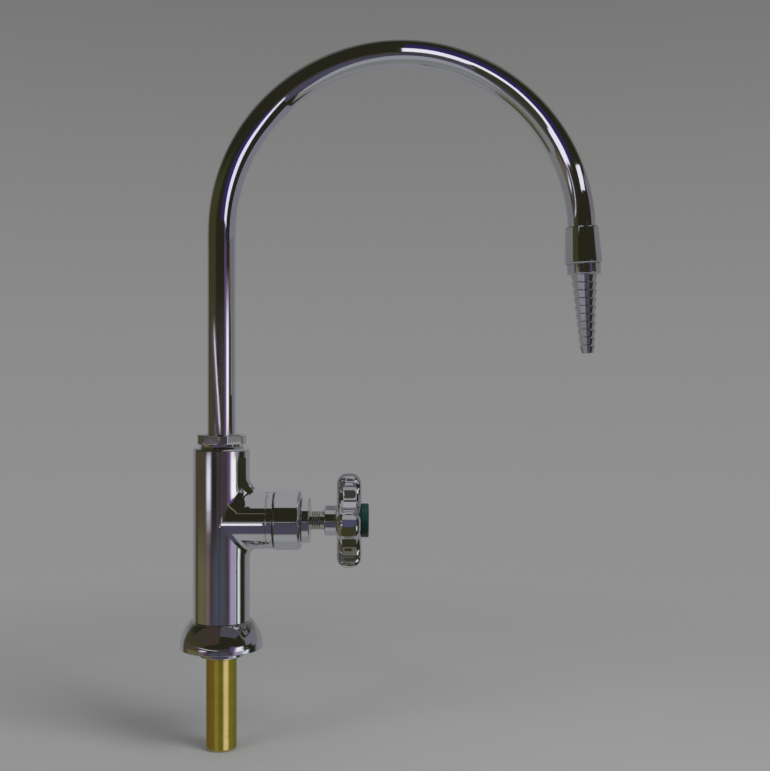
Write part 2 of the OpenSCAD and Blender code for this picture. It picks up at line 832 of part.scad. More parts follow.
// Round cap that screws into the branch and guides the stem
module bonnet() {
    color([0.80, 0.80, 0.83])
    on_branch()
        difference() {
            union() {
                shaft(bonnet_thread_r, bonnet_inner_x, bonnet_x + over, edge_break, 0);
                shaft(bonnet_r, bonnet_x, bonnet_front_x, bonnet_back_edge, bonnet_chamfer);
            }
            hole(stem_thread_r + running_gap, bonnet_inner_x - over, packing_x + over);
            hole(packing_r, packing_x, bonnet_front_x + over);
        }
}

// Thin gasket between the branch and the bonnet
module bonnet_gasket() {
    color([0.08, 0.08, 0.08])
    on_branch()
        band(bonnet_thread_r + joint_gap, body_r - gasket_inset, gasket_x, bonnet_x);
}

// Soft packing round the stem
module stem_packing() {
    color([0.90, 0.90, 0.87])
    on_branch()
        band(stem_r + running_gap, packing_r - joint_gap, packing_x, gland_x);
}

// Ring that spreads the nut's push over the packing
module packing_gland() {
    color([0.80, 0.69, 0.40])
    on_branch()
        band(stem_r + running_gap, packing_r - joint_gap, gland_x, packing_nut_x);
}

// Round nut that squeezes the packing
module packing_nut() {
    c = packing_nut_chamfer;
    color([0.80, 0.80, 0.83])
    on_branch()
        difference() {
            union() {
                shaft(packing_r - joint_gap, packing_nut_x, nut_head_x + over, edge_break, 0);
                shaft(packing_nut_dia / 2, nut_head_x, nut_front_x, c, c);
            }
            hole(stem_r + running_gap, packing_nut_x - over, nut_front_x + over);
        }
}

// Outside of the handle: hub, and a round-edged disc cut by four scallops
module handle_form() {
    shaft(hub_r, hub_x, arm_x + over, hub_chamfer, 0);
    difference() {
        rotate_extrude()
            translate([0, arm_x])
                union() {
                    square([handle_r - arm_round, arm_t]);
                    translate([0, arm_round])
                        square([handle_r, arm_t - 2 * arm_round]);
                    for (w = [arm_round, arm_t - arm_round])
                        translate([handle_r - arm_round, w])
                            circle(r = arm_round);
                }
        for (sx = [-1, 1], sy = [-1, 1])
            translate([sx * scallop_centre, sy * scallop_centre, arm_x - over])
                cylinder(r = scallop_r, h = arm_t + 2 * over);
    }
}

// Four-arm handle, square on the stem
module handle() {
    hole_across = square_across + 2 * joint_gap;
    color([0.80, 0.80, 0.83])
    on_branch()
        difference() {
            handle_form();
            hole(stem_r + joint_gap, hub_x - over, square_x);
            translate([-hole_across / 2, -hole_across / 2, square_x - over])
                cube([hole_across, hole_across, web_x - square_x + over]);
            hole(handle_screw_dia / 2 + joint_gap, web_x - over, handle_front_x);
            hole(handle_screw_head / 2 + free_gap, screw_seat_x, handle_front_x);
            hole(plug_dia / 2 + joint_gap, plug_floor_x, handle_front_x + over);
        }
}

// Screw that draws the handle on to the stem
module handle_screw() {
    color([0.70, 0.70, 0.72])
    on_branch()
        difference() {
            union() {
                shaft(handle_screw_dia / 2, screw_seat_x - handle_screw_len, screw_seat_x + slot_depth,
                    fine_edge, 0);
                shaft(handle_screw_head / 2, screw_seat_x, screw_head_x, 0, edge_break);
            }
            translate([-handle_screw_head, -slot_w / 2, screw_head_x - slot_depth])
                cube([2 * handle_screw_head, slot_w, slot_depth + over]);
        }
}

// Coloured index button that plugs into the handle's face
module index_button() {
    color([0.05, 0.25, 0.20])
    on_branch() {
        shaft(button_dia / 2, handle_front_x, handle_front_x + button_t, fine_edge, button_edge);
        shaft(plug_dia / 2, handle_front_x - plug_len, handle_front_x + over, fine_edge, 0);
    }
}

body();
base_flange();
inlet_shank();
swivel_nut();
friction_washer();
spout_collar();
spout_o_rings();
gooseneck_tube();
outlet_coupling();
hose_nozzle();
valve_seat();
seat_washer();
washer_screw();
washer_holder();
holder_ring();
stem();
bonnet();
bonnet_gasket();
stem_packing();
packing_gland();
packing_nut();
handle();
handle_screw();
index_button();
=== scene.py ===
"""Looks of a deck-mounted fill faucet with a gooseneck, a side valve and a serrated nozzle.

Every visible piece is a closed mesh built here at the part's own sizes, in place
of its plain solid. The pieces hidden inside stay as they are, with procedural
finishes. Lengths are in millimetres where no comment says metres.
"""
import math

import bmesh
import bpy
import numpy as np
from mathutils import Matrix, Vector


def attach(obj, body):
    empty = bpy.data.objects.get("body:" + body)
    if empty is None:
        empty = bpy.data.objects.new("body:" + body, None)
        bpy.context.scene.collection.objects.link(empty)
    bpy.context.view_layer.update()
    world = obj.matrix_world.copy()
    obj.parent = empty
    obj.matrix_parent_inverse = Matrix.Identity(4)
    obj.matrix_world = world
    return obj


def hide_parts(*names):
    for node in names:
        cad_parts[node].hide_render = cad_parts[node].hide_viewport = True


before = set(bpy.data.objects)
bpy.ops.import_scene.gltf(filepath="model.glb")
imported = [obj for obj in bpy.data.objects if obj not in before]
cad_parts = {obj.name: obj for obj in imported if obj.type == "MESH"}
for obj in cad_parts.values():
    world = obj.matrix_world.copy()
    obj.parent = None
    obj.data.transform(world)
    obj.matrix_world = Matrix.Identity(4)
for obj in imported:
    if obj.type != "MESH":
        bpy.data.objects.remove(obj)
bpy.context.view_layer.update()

# A millimetre, and how near points have to be to merge, in metres
MM = 0.001
MERGE = 2e-7

# Faces round a turned piece and round a tube or bore, and steps in a rounded corner
TURNS = 144
TUBE_TURNS = 96
ARC_STEPS = 4

# How far the close row stands from a rounded corner, and from what angle an edge looks sharp
SUPPORT = 0.06
SHARP_ANGLE = math.radians(38)

# The photograph's point of view, in millimetres
EYE = Vector((92.2, -634, 147.5))
LENS = 52.5
SENSOR = 36.0

# Heights on the barrel's axis, from the deck face up
SHANK_LOW = -57.0
SHANK_MARK = -48.0
SHANK_STEP = -5.5
SPIGOT_LOW = -4.5
RIM_TOP = 1.2
SHANK_TOP = 13.5
FLANGE_TOP = 15.1
BRANCH_Z = 71.5
RISE_LOW = 79.9
SOCKET_LOW = 91.9
TUBE_LOW = 94.75
COLLAR_SEAT = 101.0
NUT_LOW = 105.4
BARREL_TOP = 112.1
NUT_HEX = 114.6
NUT_TOP = 119.9
ARCH_Z = 232.6

# Radii round the barrel's axis
BODY_R = 15.9
FLANGE_R = 23.2
SPIGOT_R = 12.6
SHANK_R = 8.55
SHANK_SCREWED_R = 8.3
SHANK_BORE_R = 5.5
INLET_R = 6.0
RISE_R = 4.0
SOCKET_R = 10.46
COLLAR_SEAT_R = 12.35
TUBE_R = 7.95
TUBE_BORE_R = 6.75

# The flange's dome: how far it runs in from the rim, and its wall
DOME_RUN = 5.7
DOME_WALL = 1.8
DOME_TOP_WALL = 2.4

# The gooseneck's bend, how far its outlet leans from straight down, and its straight tail
ARCH_R = 101.6
OUTLET_TILT = math.radians(2.64)
TUBE_TAIL = 9.1

# The rounds above and below the branch, at their largest
FILLET_TOP = 9.0
FILLET_LOW = 4.5

# Gaps between pieces: screwed or pressed, and turning
JOINT_GAP = 0.05
RUNNING_GAP = 0.06

# Places along the branch's axis, from the barrel's axis outwards
SEAT_X = 3.9
CHAMBER_X = 9.0
STEM_X = 15.75
CAP_X = 20.7
TEE_END = 25.9
RING_START = 26.5
BRANCH_END = 29.7
BONNET_X = 30.3
PACKING_X = 34.0
GLAND_NUT_X = 39.4
BONNET_FRONT = 45.2
GLAND_HEAD_X = 45.3
GLAND_FRONT = 50.1
HUB_X = 58.2
SQUARE_X = 60.2
STEM_HOLE_X = 63.0
ARM_X = 65.1
SQUARE_END = 72.0
WEB_X = 72.1
SCREW_SEAT_X = 74.6
PLUG_FLOOR = 76.8
HANDLE_FRONT = 78.9
BUTTON_FACE = 83.0

# Radii round the branch's axis
SEAT_PORT_R = 3.6
SEAT_R = 6.65
CHAMBER_R = 11.0
CAP_R = 12.9
GASKET_R = 15.4
BONNET_R = 16.6
PACKING_R = 9.5
GLAND_SCREW_R = 9.45
GLAND_HEAD_R = 12.55
PIVOT_R = 2.66
STEM_THREAD_R = 6.0
STEM_R = 5.2
SQUARE_HALF = 3.7
SQUARE_CORNER_R = 5.0
SCREW_R = 2.05
SCREW_HEAD_R = 4.4
HUB_R = 8.55
HANDLE_R = 26.5
PLUG_R = 7.9
BUTTON_R = 9.5

# The scallops between the handle's arms: radius, and how far out in both directions
SCALLOP_R = 11.0
SCALLOP_OUT = 17.0

# Places along the outlet's axis, from the bend's end
COUPLING_START = 0.6
TUBE_STOP = 9.2
NOZZLE_START = 12.4
NOZZLE_SHOULDER = 21.4
BARB_START = 27.3

# Radii round the outlet's axis
COUPLING_R = 10.55
NOZZLE_SCREW_R = 8.55
NOZZLE_R = 9.6
NOZZLE_BORE_R = 2.3

# The hose barbs: how many, pitch, first radius, what each loses to the next, and depth
BARBS = 10
BARB_PITCH = 4.44
BARB_R = 7.55
BARB_FALL = 3.05 / 9
BARB_DEPTH = 0.9

# Frames: a column of each matrix is where the local axis points
ON_BARREL = Matrix.Identity(4)
ON_BRANCH = Matrix.Translation((0, 0, BRANCH_Z * MM)) @ Matrix.Rotation(math.pi / 2, 4, "Y")
AT_OUTLET = (
    Matrix.Translation((
        ARCH_R * (1 + math.cos(OUTLET_TILT)) * MM,
        0,
        (ARCH_Z + ARCH_R * math.sin(OUTLET_TILT)) * MM,
    ))
    @ Matrix.Rotation(math.pi - OUTLET_TILT, 4, "Y")
)


# Mesh helpers

def soften(outline, closed=True):
    """Rounds the corners of (r, w, radius) points.

    A close row beside each arc keeps flat faces flat.
    """
    count = len(outline)
    places = [np.array(p[:2], float) for p in outline]
    rows = []
    for i, spec in enumerate(outline):
        radius = spec[2] if len(spec) > 2 else 0
        at_end = not closed and i in (0, count - 1)
        if radius == 0 or at_end:
            rows.append(places[i])
            continue
        back, ahead = places[i - 1] - places[i], places[(i + 1) % count] - places[i]
        back_len, ahead_len = np.linalg.norm(back), np.linalg.norm(ahead)
        back, ahead = back / back_len, ahead / ahead_len
        half = math.acos(max(-1.0, min(1.0, float(back @ ahead)))) / 2
        reach = min(radius / math.tan(half), 0.45 * back_len, 0.45 * ahead_len)
        bisector = (back + ahead) / np.linalg.norm(back + ahead)
        centre = places[i] + bisector * reach / math.cos(half)
        start, end = places[i] + back * reach - centre, places[i] + ahead * reach - centre
        sweep = math.pi - 2 * half
        rows.append(places[i] + back * (reach + min(SUPPORT, 0.04 * back_len)))
        for k in range(ARC_STEPS + 1):
            f = k / ARC_STEPS
            rows.append(centre + (math.sin((1 - f) * sweep) * start
                                  + math.sin(f * sweep) * end) / math.sin(sweep))
        rows.append(places[i] + ahead * (reach + min(SUPPORT, 0.04 * ahead_len)))
    return np.array(rows)


def solid(name, points, faces, frame_matrix=ON_BARREL):
    """One closed mesh object from millimetre points in a local frame."""
    mesh = bpy.data.meshes.new(name)
    mesh.from_pydata((np.asarray(points, float) * MM).tolist(), [], faces)
    mesh.transform(frame_matrix)
    work = bmesh.new()
    work.from_mesh(mesh)
    bmesh.ops.remove_doubles(work, verts=work.verts, dist=MERGE)
    bmesh.ops.dissolve_degenerate(work, edges=work.edges, dist=MERGE)
    bmesh.ops.recalc_face_normals(work, faces=work.faces)
    work.to_mesh(mesh)
    work.free()
    obj = bpy.data.objects.new(name, mesh)
    bpy.context.scene.collection.objects.link(obj)
    smooth(obj)
    return obj


def smooth(obj):
    obj.data.shade_smooth()
    obj.data.set_sharp_from_angle(angle=SHARP_ANGLE)


def grid_faces(rows, count, wrap_rows, wrap_count):
    """Quads between neighbouring rows of a grid of points."""
    return [
        (j * count + i, j * count + (i + 1) % count,
         (j + 1) % rows * count + (i + 1) % count, (j + 1) % rows * count + i)
        for j in range(rows if wrap_rows else rows - 1)
        for i in range(count if wrap_count else count - 1)
    ]


def columns(name, column_at, angles, frame_matrix=ON_BARREL, closed=True):
    """Mesh whose columns stand round an axis. column_at(angle) gives each one's (r, w) rows."""
    points = []
    for a in angles:
        for r, w in column_at(a):
            points.append((r * math.cos(a), r * math.sin(a), w))
    count = len(points) // len(angles)
    return solid(name, points, grid_faces(len(angles), count, True, closed), frame_matrix)


def lathe(name, outline, frame_matrix=ON_BARREL, closed=True, turns=TURNS):
    """Turned piece from its (r, w, corner radius) outline."""
    rows = soften(outline, closed)
    angles = [2 * math.pi * k / turns for k in range(turns)]
    return columns(name, lambda a: rows, angles, frame_matrix, closed)


def settle(obj):
    """Applies the object's modifiers to its mesh."""
    graph = bpy.context.evaluated_depsgraph_get()
    mesh = bpy.data.meshes.new_from_object(obj.evaluated_get(graph), depsgraph=graph)
    obj.modifiers.clear()
    old, obj.data = obj.data, mesh
    bpy.data.meshes.remove(old)


def combine(obj, tools, operation="DIFFERENCE"):
    """Cuts or joins the tools into obj, and removes them."""
    for tool in tools:
        step = obj.modifiers.new("combine", "BOOLEAN")
        step.operation = operation
        step.object = tool
        step.solver = "MANIFOLD"
        settle(obj)
        bpy.data.objects.remove(tool)
    smooth(obj)
    return obj


def drill(r, w0, w1, frame_matrix=ON_BARREL, x=0.0):
    """Round cutting tool from w0 to w1 along an axis."""
    shift = Matrix.Translation((x * MM, 0, 0))
    outline = [(0, w0), (r, w0), (r, w1), (0, w1)]
    return lathe("tool", outline, shift @ frame_matrix, False, TUBE_TURNS)


# Node helpers

# Colour sockets of the Mix node
MIX_A, MIX_B, MIX_RESULT = 6, 7, 2

# Most of a noise lies in this range
NOISE_MIDDLE = (0.3, 0.7)


def new_material(name):
    material = bpy.data.materials.new(name)
    material.use_nodes = True
    nodes = material.node_tree.nodes
    return material, nodes, material.node_tree.links, nodes["Principled BSDF"]


def add(nodes, kind, **values):
    node = nodes.new(kind)
    for key, value in values.items():
        if key.startswith("in_"):
            node.inputs[key[3:].replace("_", " ")].default_value = value
        else:
            setattr(node, key, value)
    return node


def noise(nodes, links, scale, detail=3.0, stretch=(1, 1, 1)):
    """Noise on the object's own coordinates. scale is in features per metre."""
    place = nodes.new("ShaderNodeTexCoord")
    mapping = add(nodes, "ShaderNodeMapping", in_Scale=stretch)
    texture = add(nodes, "ShaderNodeTexNoise", in_Scale=scale, in_Detail=detail)
    links.new(place.outputs["Object"], mapping.inputs["Vector"])
    links.new(mapping.outputs["Vector"], texture.inputs["Vector"])
    return texture.outputs["Fac"]


def remap(nodes, links, value, source, target, shape="LINEAR"):
    """Maps the range source to the range target, and keeps to its ends outside."""
    node = add(nodes, "ShaderNodeMapRange", interpolation_type=shape)
    sockets = ("From Min", "From Max", "To Min", "To Max")
    for socket, number in zip(sockets, (*source, *target)):
        node.inputs[socket].default_value = number
    links.new(value, node.inputs["Value"])
    return node.outputs["Result"]


def spread(nodes, links, value, low, high):
    """Maps the middle of a noise to the range low to high."""
    return remap(nodes, links, value, NOISE_MIDDLE, (low, high))


def from_axis(nodes, links, place, near, far, at_near, at_far):
    """Changes smoothly with the distance in metres from the barrel's axis."""
    flat = add(nodes, "ShaderNodeVectorMath", operation="MULTIPLY")
    flat.inputs[1].default_value = (1, 1, 0)
    links.new(place, flat.inputs[0])
    distance = add(nodes, "ShaderNodeVectorMath", operation="LENGTH")
    links.new(flat.outputs["Vector"], distance.inputs[0])
    return remap(nodes, links, distance.outputs["Value"], (near, far), (at_near, at_far),
                 "SMOOTHSTEP")


def mix_shaders(nodes, links, share, first, second):
    """A share of 0 shows the first shader, and 1 the second."""
    node = nodes.new("ShaderNodeMixShader")
    links.new(share, node.inputs["Fac"])
    links.new(first, node.inputs[1])
    links.new(second, node.inputs[2])
    return node.outputs["Shader"]


def blend_colours(nodes, links, factor, first, second):
    node = nodes.new("ShaderNodeMix")
    node.data_type = "RGBA"
    for socket, value in ((MIX_A, first), (MIX_B, second)):
        if isinstance(value, tuple):
            node.inputs[socket].default_value = (*value, 1)
        else:
            links.new(value, node.inputs[socket])
    links.new(factor, node.inputs[0])
    return node.outputs[MIX_RESULT]


def relief(nodes, links, shader, *layers):
    """Stacks bumps: each layer is (height, distance in metres)."""
    before = None
    for height, distance in layers:
        bump = add(nodes, "ShaderNodeBump", in_Strength=1.0, in_Distance=distance)
        links.new(height, bump.inputs["Height"])
        if before:
            links.new(before, bump.inputs["Normal"])
        before = bump.outputs["Normal"]
    links.new(before, shader.inputs["Normal"])


# Finishes

def chrome(name, tint=(0.80, 0.80, 0.83), rough=(0.025, 0.07), wave=0.0):
    """Polished plate with faint smudges, hairline buffing marks and, on a casting, slight waves."""
    material, nodes, links, shader = new_material(name)
    shader.inputs["Metallic"].default_value = 1.0
    smudge = noise(nodes, links, scale=90, detail=5)
    cloud = noise(nodes, links, scale=35, detail=2)
    darker = tuple(c * 0.93 for c in tint)
    links.new(blend_colours(nodes, links, spread(nodes, links, cloud, 0, 1), tint, darker),
              shader.inputs["Base Color"])
    links.new(spread(nodes, links, smudge, *rough), shader.inputs["Roughness"])
    hairline = noise(nodes, links, scale=900, detail=2, stretch=(1, 1, 0.12))
    layers = [(hairline, 1.5e-7)]
    if wave:
        layers.append((noise(nodes, links, scale=110, detail=1), wave))
    relief(nodes, links, shader, *layers)
    return material


def turned_metal(name, first, second, rough=(0.2, 0.34), axis=2, groove=2.5e-6):
    """Turned metal: fine rings round the piece's axis, and stains in two tones."""
    material, nodes, links, shader = new_material(name)
    shader.inputs["Metallic"].default_value = 1.0
    along = [0.02, 0.02, 0.02]
    along[axis] = 1.0
    rings = noise(nodes, links, scale=2600, detail=4, stretch=tuple(along))
    bands = noise(nodes, links, scale=160, detail=3, stretch=tuple(along))
    stains = noise(nodes, links, scale=70, detail=5)
    tone = add(nodes, "ShaderNodeMath", operation="MULTIPLY_ADD")
    links.new(spread(nodes, links, bands, 0, 1), tone.inputs[0])
    tone.inputs[1].default_value = 0.45
    links.new(spread(nodes, links, stains, 0, 0.55), tone.inputs[2])
    links.new(blend_colours(nodes, links, tone.outputs[0], first, second),
              shader.inputs["Base Color"])
    links.new(spread(nodes, links, rings, *rough), shader.inputs["Roughness"])
    relief(nodes, links, shader, (rings, groove))
    return material


def moulded(name, first, second, rough, grain=900, height=6e-6):
    """Moulded plastic or rubber: two close tones and a fine skin."""
    material, nodes, links, shader = new_material(name)
    cloud = noise(nodes, links, scale=120, detail=4)
    skin = noise(nodes, links, scale=grain, detail=3)
    links.new(blend_colours(nodes, links, spread(nodes, links, cloud, 0, 1), first, second),
              shader.inputs["Base Color"])
    links.new(spread(nodes, links, skin, *rough), shader.inputs["Roughness"])
    relief(nodes, links, shader, (skin, height))
    return material


FINISHES = {
    "chrome": chrome("chrome", wave=2.5e-5),
    "chrome_tube": chrome("chrome_tube"),
    "chrome_nozzle": chrome("chrome_nozzle", (0.78, 0.78, 0.81), (0.05, 0.12)),
    "chrome_handle": chrome("chrome_handle", rough=(0.03, 0.08), wave=1.5e-5),
    "raw_brass": turned_metal(
        "raw_brass", (0.66, 0.54, 0.19), (0.54, 0.42, 0.13), (0.17, 0.25), groove=7e-7),
    "stem_brass": turned_metal(
        "stem_brass", (0.62, 0.61, 0.53), (0.48, 0.48, 0.40), (0.10, 0.18), axis=0, groove=1e-6),
    "inner_brass": turned_metal(
        "inner_brass", (0.72, 0.58, 0.26), (0.60, 0.46, 0.18), (0.2, 0.3), axis=0),
    "stainless": turned_metal(
        "stainless", (0.62, 0.62, 0.64), (0.52, 0.52, 0.54), (0.2, 0.3), axis=0),
    "rubber": moulded("rubber", (0.030, 0.030, 0.030), (0.045, 0.045, 0.043), (0.55, 0.75)),
    "low_friction": moulded(
        "low_friction", (0.80, 0.80, 0.76), (0.70, 0.70, 0.65), (0.35, 0.5)),
    "green_plastic": moulded(
        "green_plastic", (0.004, 0.036, 0.026), (0.003, 0.026, 0.019), (0.30, 0.44),
        grain=700, height=3e-6),
}


def dress(obj, node, body, slot):
    """obj stands for a solid of the frame: it takes its place, body and finish."""
    obj.data.materials.clear()
    obj.data.materials.append(FINISHES[slot])
    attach(obj, body)
    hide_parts(node)


# The casting

def barrel_point(c, s, r, z):
    return (c * r, s * r, z)


def branch_point(c, s, r, x, side):
    return (x, s * r, BRANCH_Z + side * c * r)


def fillet(c, s, radius, side, start, end, steps=16):
    """Round between barrel and branch, cut at one distance from the middle plane."""
    rows = []
    for k in range(steps + 1):
        a = math.radians(start + (end - start) * k / steps)
        px = c * BODY_R + radius + radius * math.cos(a)
        pz = side * (c * BODY_R + radius) + radius * math.sin(a)
        rows.append((px, s * BODY_R, BRANCH_Z + pz))
    return rows


def make_casting():
    foot = soften([
        (SHANK_SCREWED_R, SPIGOT_LOW), (SPIGOT_R, SPIGOT_LOW, 0.5), (SPIGOT_R, FLANGE_TOP),
        (BODY_R, FLANGE_TOP, 0.3), (BODY_R, FLANGE_TOP + 4),
    ], False)
    head = soften([(BODY_R, BARREL_TOP - 4), (BODY_R, BARREL_TOP, 1.9), (13.4, BARREL_TOP)], False)
    mouth = soften([
        (BODY_R, TEE_END - 2.5), (BODY_R, TEE_END, 0.15), (BODY_R - 0.5, TEE_END + 0.05, 0.1),
        (BODY_R - 0.5, RING_START - 0.05, 0.1), (BODY_R, RING_START, 0.3),
        (BODY_R, BRANCH_END, 0.35), (13.6, BRANCH_END),
    ], False)
    fractions = np.linspace(0, 1, 7)
    row_angles = np.radians(np.linspace(-90, 90, 121))
    points = []
    for t in row_angles:
        c, s = math.cos(t), math.sin(t)
        if abs(c) < 1e-9:
            c = 0.0
        # The rounds fade out towards the sides, the upper one slowly
        low_round, high_round = FILLET_LOW * c, FILLET_TOP * c ** 0.6
        low_end = BRANCH_Z - c * BODY_R - low_round
        high_start = BRANCH_Z + c * BODY_R + high_round
        low = [foot[-1][1] + f * (low_end - foot[-1][1]) for f in fractions[1:-1]]
        high = [high_start + f * (head[0][1] - high_start) for f in fractions[1:-1]]
        right_low = [barrel_point(c, s, r, z) for r, z in foot]
        right_low += [barrel_point(c, s, BODY_R, z) for z in low]
        right_high = [barrel_point(c, s, BODY_R, z) for z in high]
        right_high += [barrel_point(c, s, r, z) for r, z in head]
        reach = {}
        for side, radius in ((-1, low_round), (1, high_round)):
            start = c * BODY_R + radius
            reach[side] = [branch_point(c, s, BODY_R, start + f * (mouth[0][1] - start), side)
                           for f in fractions[1:-1]]
            reach[side] += [branch_point(c, s, r, x, side) for r, x in mouth]
        row = right_low
        row += fillet(c, s, low_round, -1, 180, 90)
        row += reach[-1] + reach[1][::-1]
        row += fillet(c, s, high_round, 1, 270, 180)
        row += right_high
        left = [barrel_point(c, s, r, z) for r, z in head[::-1]]
        left += [barrel_point(c, s, BODY_R, z) for z in [*high[::-1], high_start, BRANCH_Z,
                                                         low_end, *low[::-1]]]
        left += [barrel_point(c, s, r, z) for r, z in foot[::-1]]
        row += [(-x, y, z) for x, y, z in left]
        points += row
    count = len(points) // len(row_angles)
    casting = solid("casting", points, grid_faces(len(row_angles), count, False, True))
    return combine(casting, [
        drill(SHANK_SCREWED_R + JOINT_GAP, SPIGOT_LOW - 1, SHANK_TOP),
        drill(INLET_R, SHANK_TOP - 1, BRANCH_Z),
        drill(SEAT_PORT_R, 0, CHAMBER_X, ON_BRANCH),
        drill(SEAT_R, SEAT_X, CHAMBER_X + 1, ON_BRANCH),
        drill(CHAMBER_R, CHAMBER_X, BRANCH_END - 0.5, ON_BRANCH),
        drill(CAP_R + JOINT_GAP, CAP_X - 1, BRANCH_END + 1, ON_BRANCH),
        drill(RISE_R, RISE_LOW, SOCKET_LOW + 1, x=2 * RISE_R),
        drill(SOCKET_R, SOCKET_LOW, COLLAR_SEAT + 1),
        drill(COLLAR_SEAT_R, COLLAR_SEAT, BARREL_TOP + 1),
    ])


# The swivel nut

def make_nut():
    half_across, chamfer, turn = 13.5, 0.4, math.radians(11 - 90)
    corner_r, neck_r, bore = 14.3, 12.3, TUBE_R + 0.4
    inner_r = corner_r - chamfer
    edge, flat = (math.degrees(math.acos(half_across / r)) for r in (inner_r, corner_r))

    def column(a):
        off = (a - turn) % (math.pi / 3) - math.pi / 6
        r = min(half_across / math.cos(off), corner_r)
        drop = max(0.0, r - inner_r)
        face_r = min(r, inner_r)
        rows = [(bore, NUT_LOW), (neck_r - 0.5, NUT_LOW), (neck_r, NUT_LOW + 0.5)]
        rows += [(neck_r, NUT_HEX), (face_r, NUT_HEX), (r, NUT_HEX + drop)]
        rows += [(r, NUT_HEX + drop + 0.35), (r, NUT_TOP - drop - 0.35)]
        rows += [(r, NUT_TOP - drop), (face_r, NUT_TOP)]
        return rows + [(bore + 0.3, NUT_TOP), (bore, NUT_TOP - 0.3)]

    steps = sorted({round(x, 6) for x in [*np.linspace(-30, 30, 25), -edge, edge, -flat, flat]})
    angles = [turn + math.radians(60 * k + 30 + x) for k in range(6) for x in steps[:-1]]
    nut = columns("nut", column, angles)
    bevel = nut.modifiers.new("edges", "BEVEL")
    bevel.width, bevel.segments, bevel.limit_method = 0.16 * MM, 2, "ANGLE"
    bevel.angle_limit = math.radians(25)
    bevel.use_clamp_overlap = True
    settle(nut)
    smooth(nut)
    return nut


# The gooseneck

def gooseneck_path():
    """Places and directions along a straight riser, one bend and a short straight tail."""
    path = [((0, 0, z), (0, 0, 1)) for z in (TUBE_LOW, 120, 160, 200)]
    steps = 110
    for k in range(steps + 1):
        a = math.pi - (math.pi - OUTLET_TILT) * k / steps
        place = (ARCH_R + ARCH_R * math.cos(a), 0, ARCH_Z + ARCH_R * math.sin(a))
        path.append((place, (math.sin(a), 0, -math.cos(a))))
    place, down = path[-1]
    end = tuple(p + TUBE_TAIL * d for p, d in zip(place, down))
    return [*path, (end, down)]


def make_tube(name, path, r, bore):
    ring = [2 * math.pi * k / TUBE_TURNS for k in range(TUBE_TURNS)]
    points = []
    for radius, places in ((r, path), (bore, path[::-1])):
        for (x, _, z), (dx, _, dz) in places:
            for a in ring:
                out, side = radius * math.cos(a), radius * math.sin(a)
                points.append((x + out * dz, side, z - out * dx))
    return solid(name, points, grid_faces(2 * len(path), len(ring), True, True))


# The handle

# Where the scallops are, seen along the stem
DIAGONALS = [(sx * SCALLOP_OUT, sy * SCALLOP_OUT) for sx in (-1, 1) for sy in (-1, 1)]


def square_r(angle, half):
    """Distance from the axis to the side of a square, at an angle."""
    return half / max(abs(math.cos(angle)), abs(math.sin(angle)))


def handle_distance(p):
    """Signed distance to the handle's outside, in its local frame: w along the stem."""
    x, y, w = p[:, 0], p[:, 1], p[:, 2]
    radial = np.hypot(x, y)

    def rounded_disc(r, low, high, edge):
        out = radial - (r - edge)
        up = np.abs(w - (low + high) / 2) - ((high - low) / 2 - edge)
        return (np.minimum(np.maximum(out, up), 0)
                + np.hypot(np.maximum(out, 0), np.maximum(up, 0)) - edge)

    def meet(a, b, k):
        inside = np.minimum(-k, np.maximum(a, b))
        return inside + np.hypot(np.maximum(a + k, 0), np.maximum(b + k, 0))

    def join(a, b, k):
        outside = np.maximum(k, np.minimum(a, b))
        return outside - np.hypot(np.maximum(k - a, 0), np.maximum(k - b, 0))

    arms = rounded_disc(HANDLE_R, ARM_X, HANDLE_FRONT, 5.8)
    for sx, sy in DIAGONALS:
        arms = meet(arms, SCALLOP_R - np.hypot(x - sx, y - sy), 4.0)
    hub = rounded_disc(HUB_R, HUB_X, ARM_X + 6, 0.8)
    return join(arms, hub, 0.7)


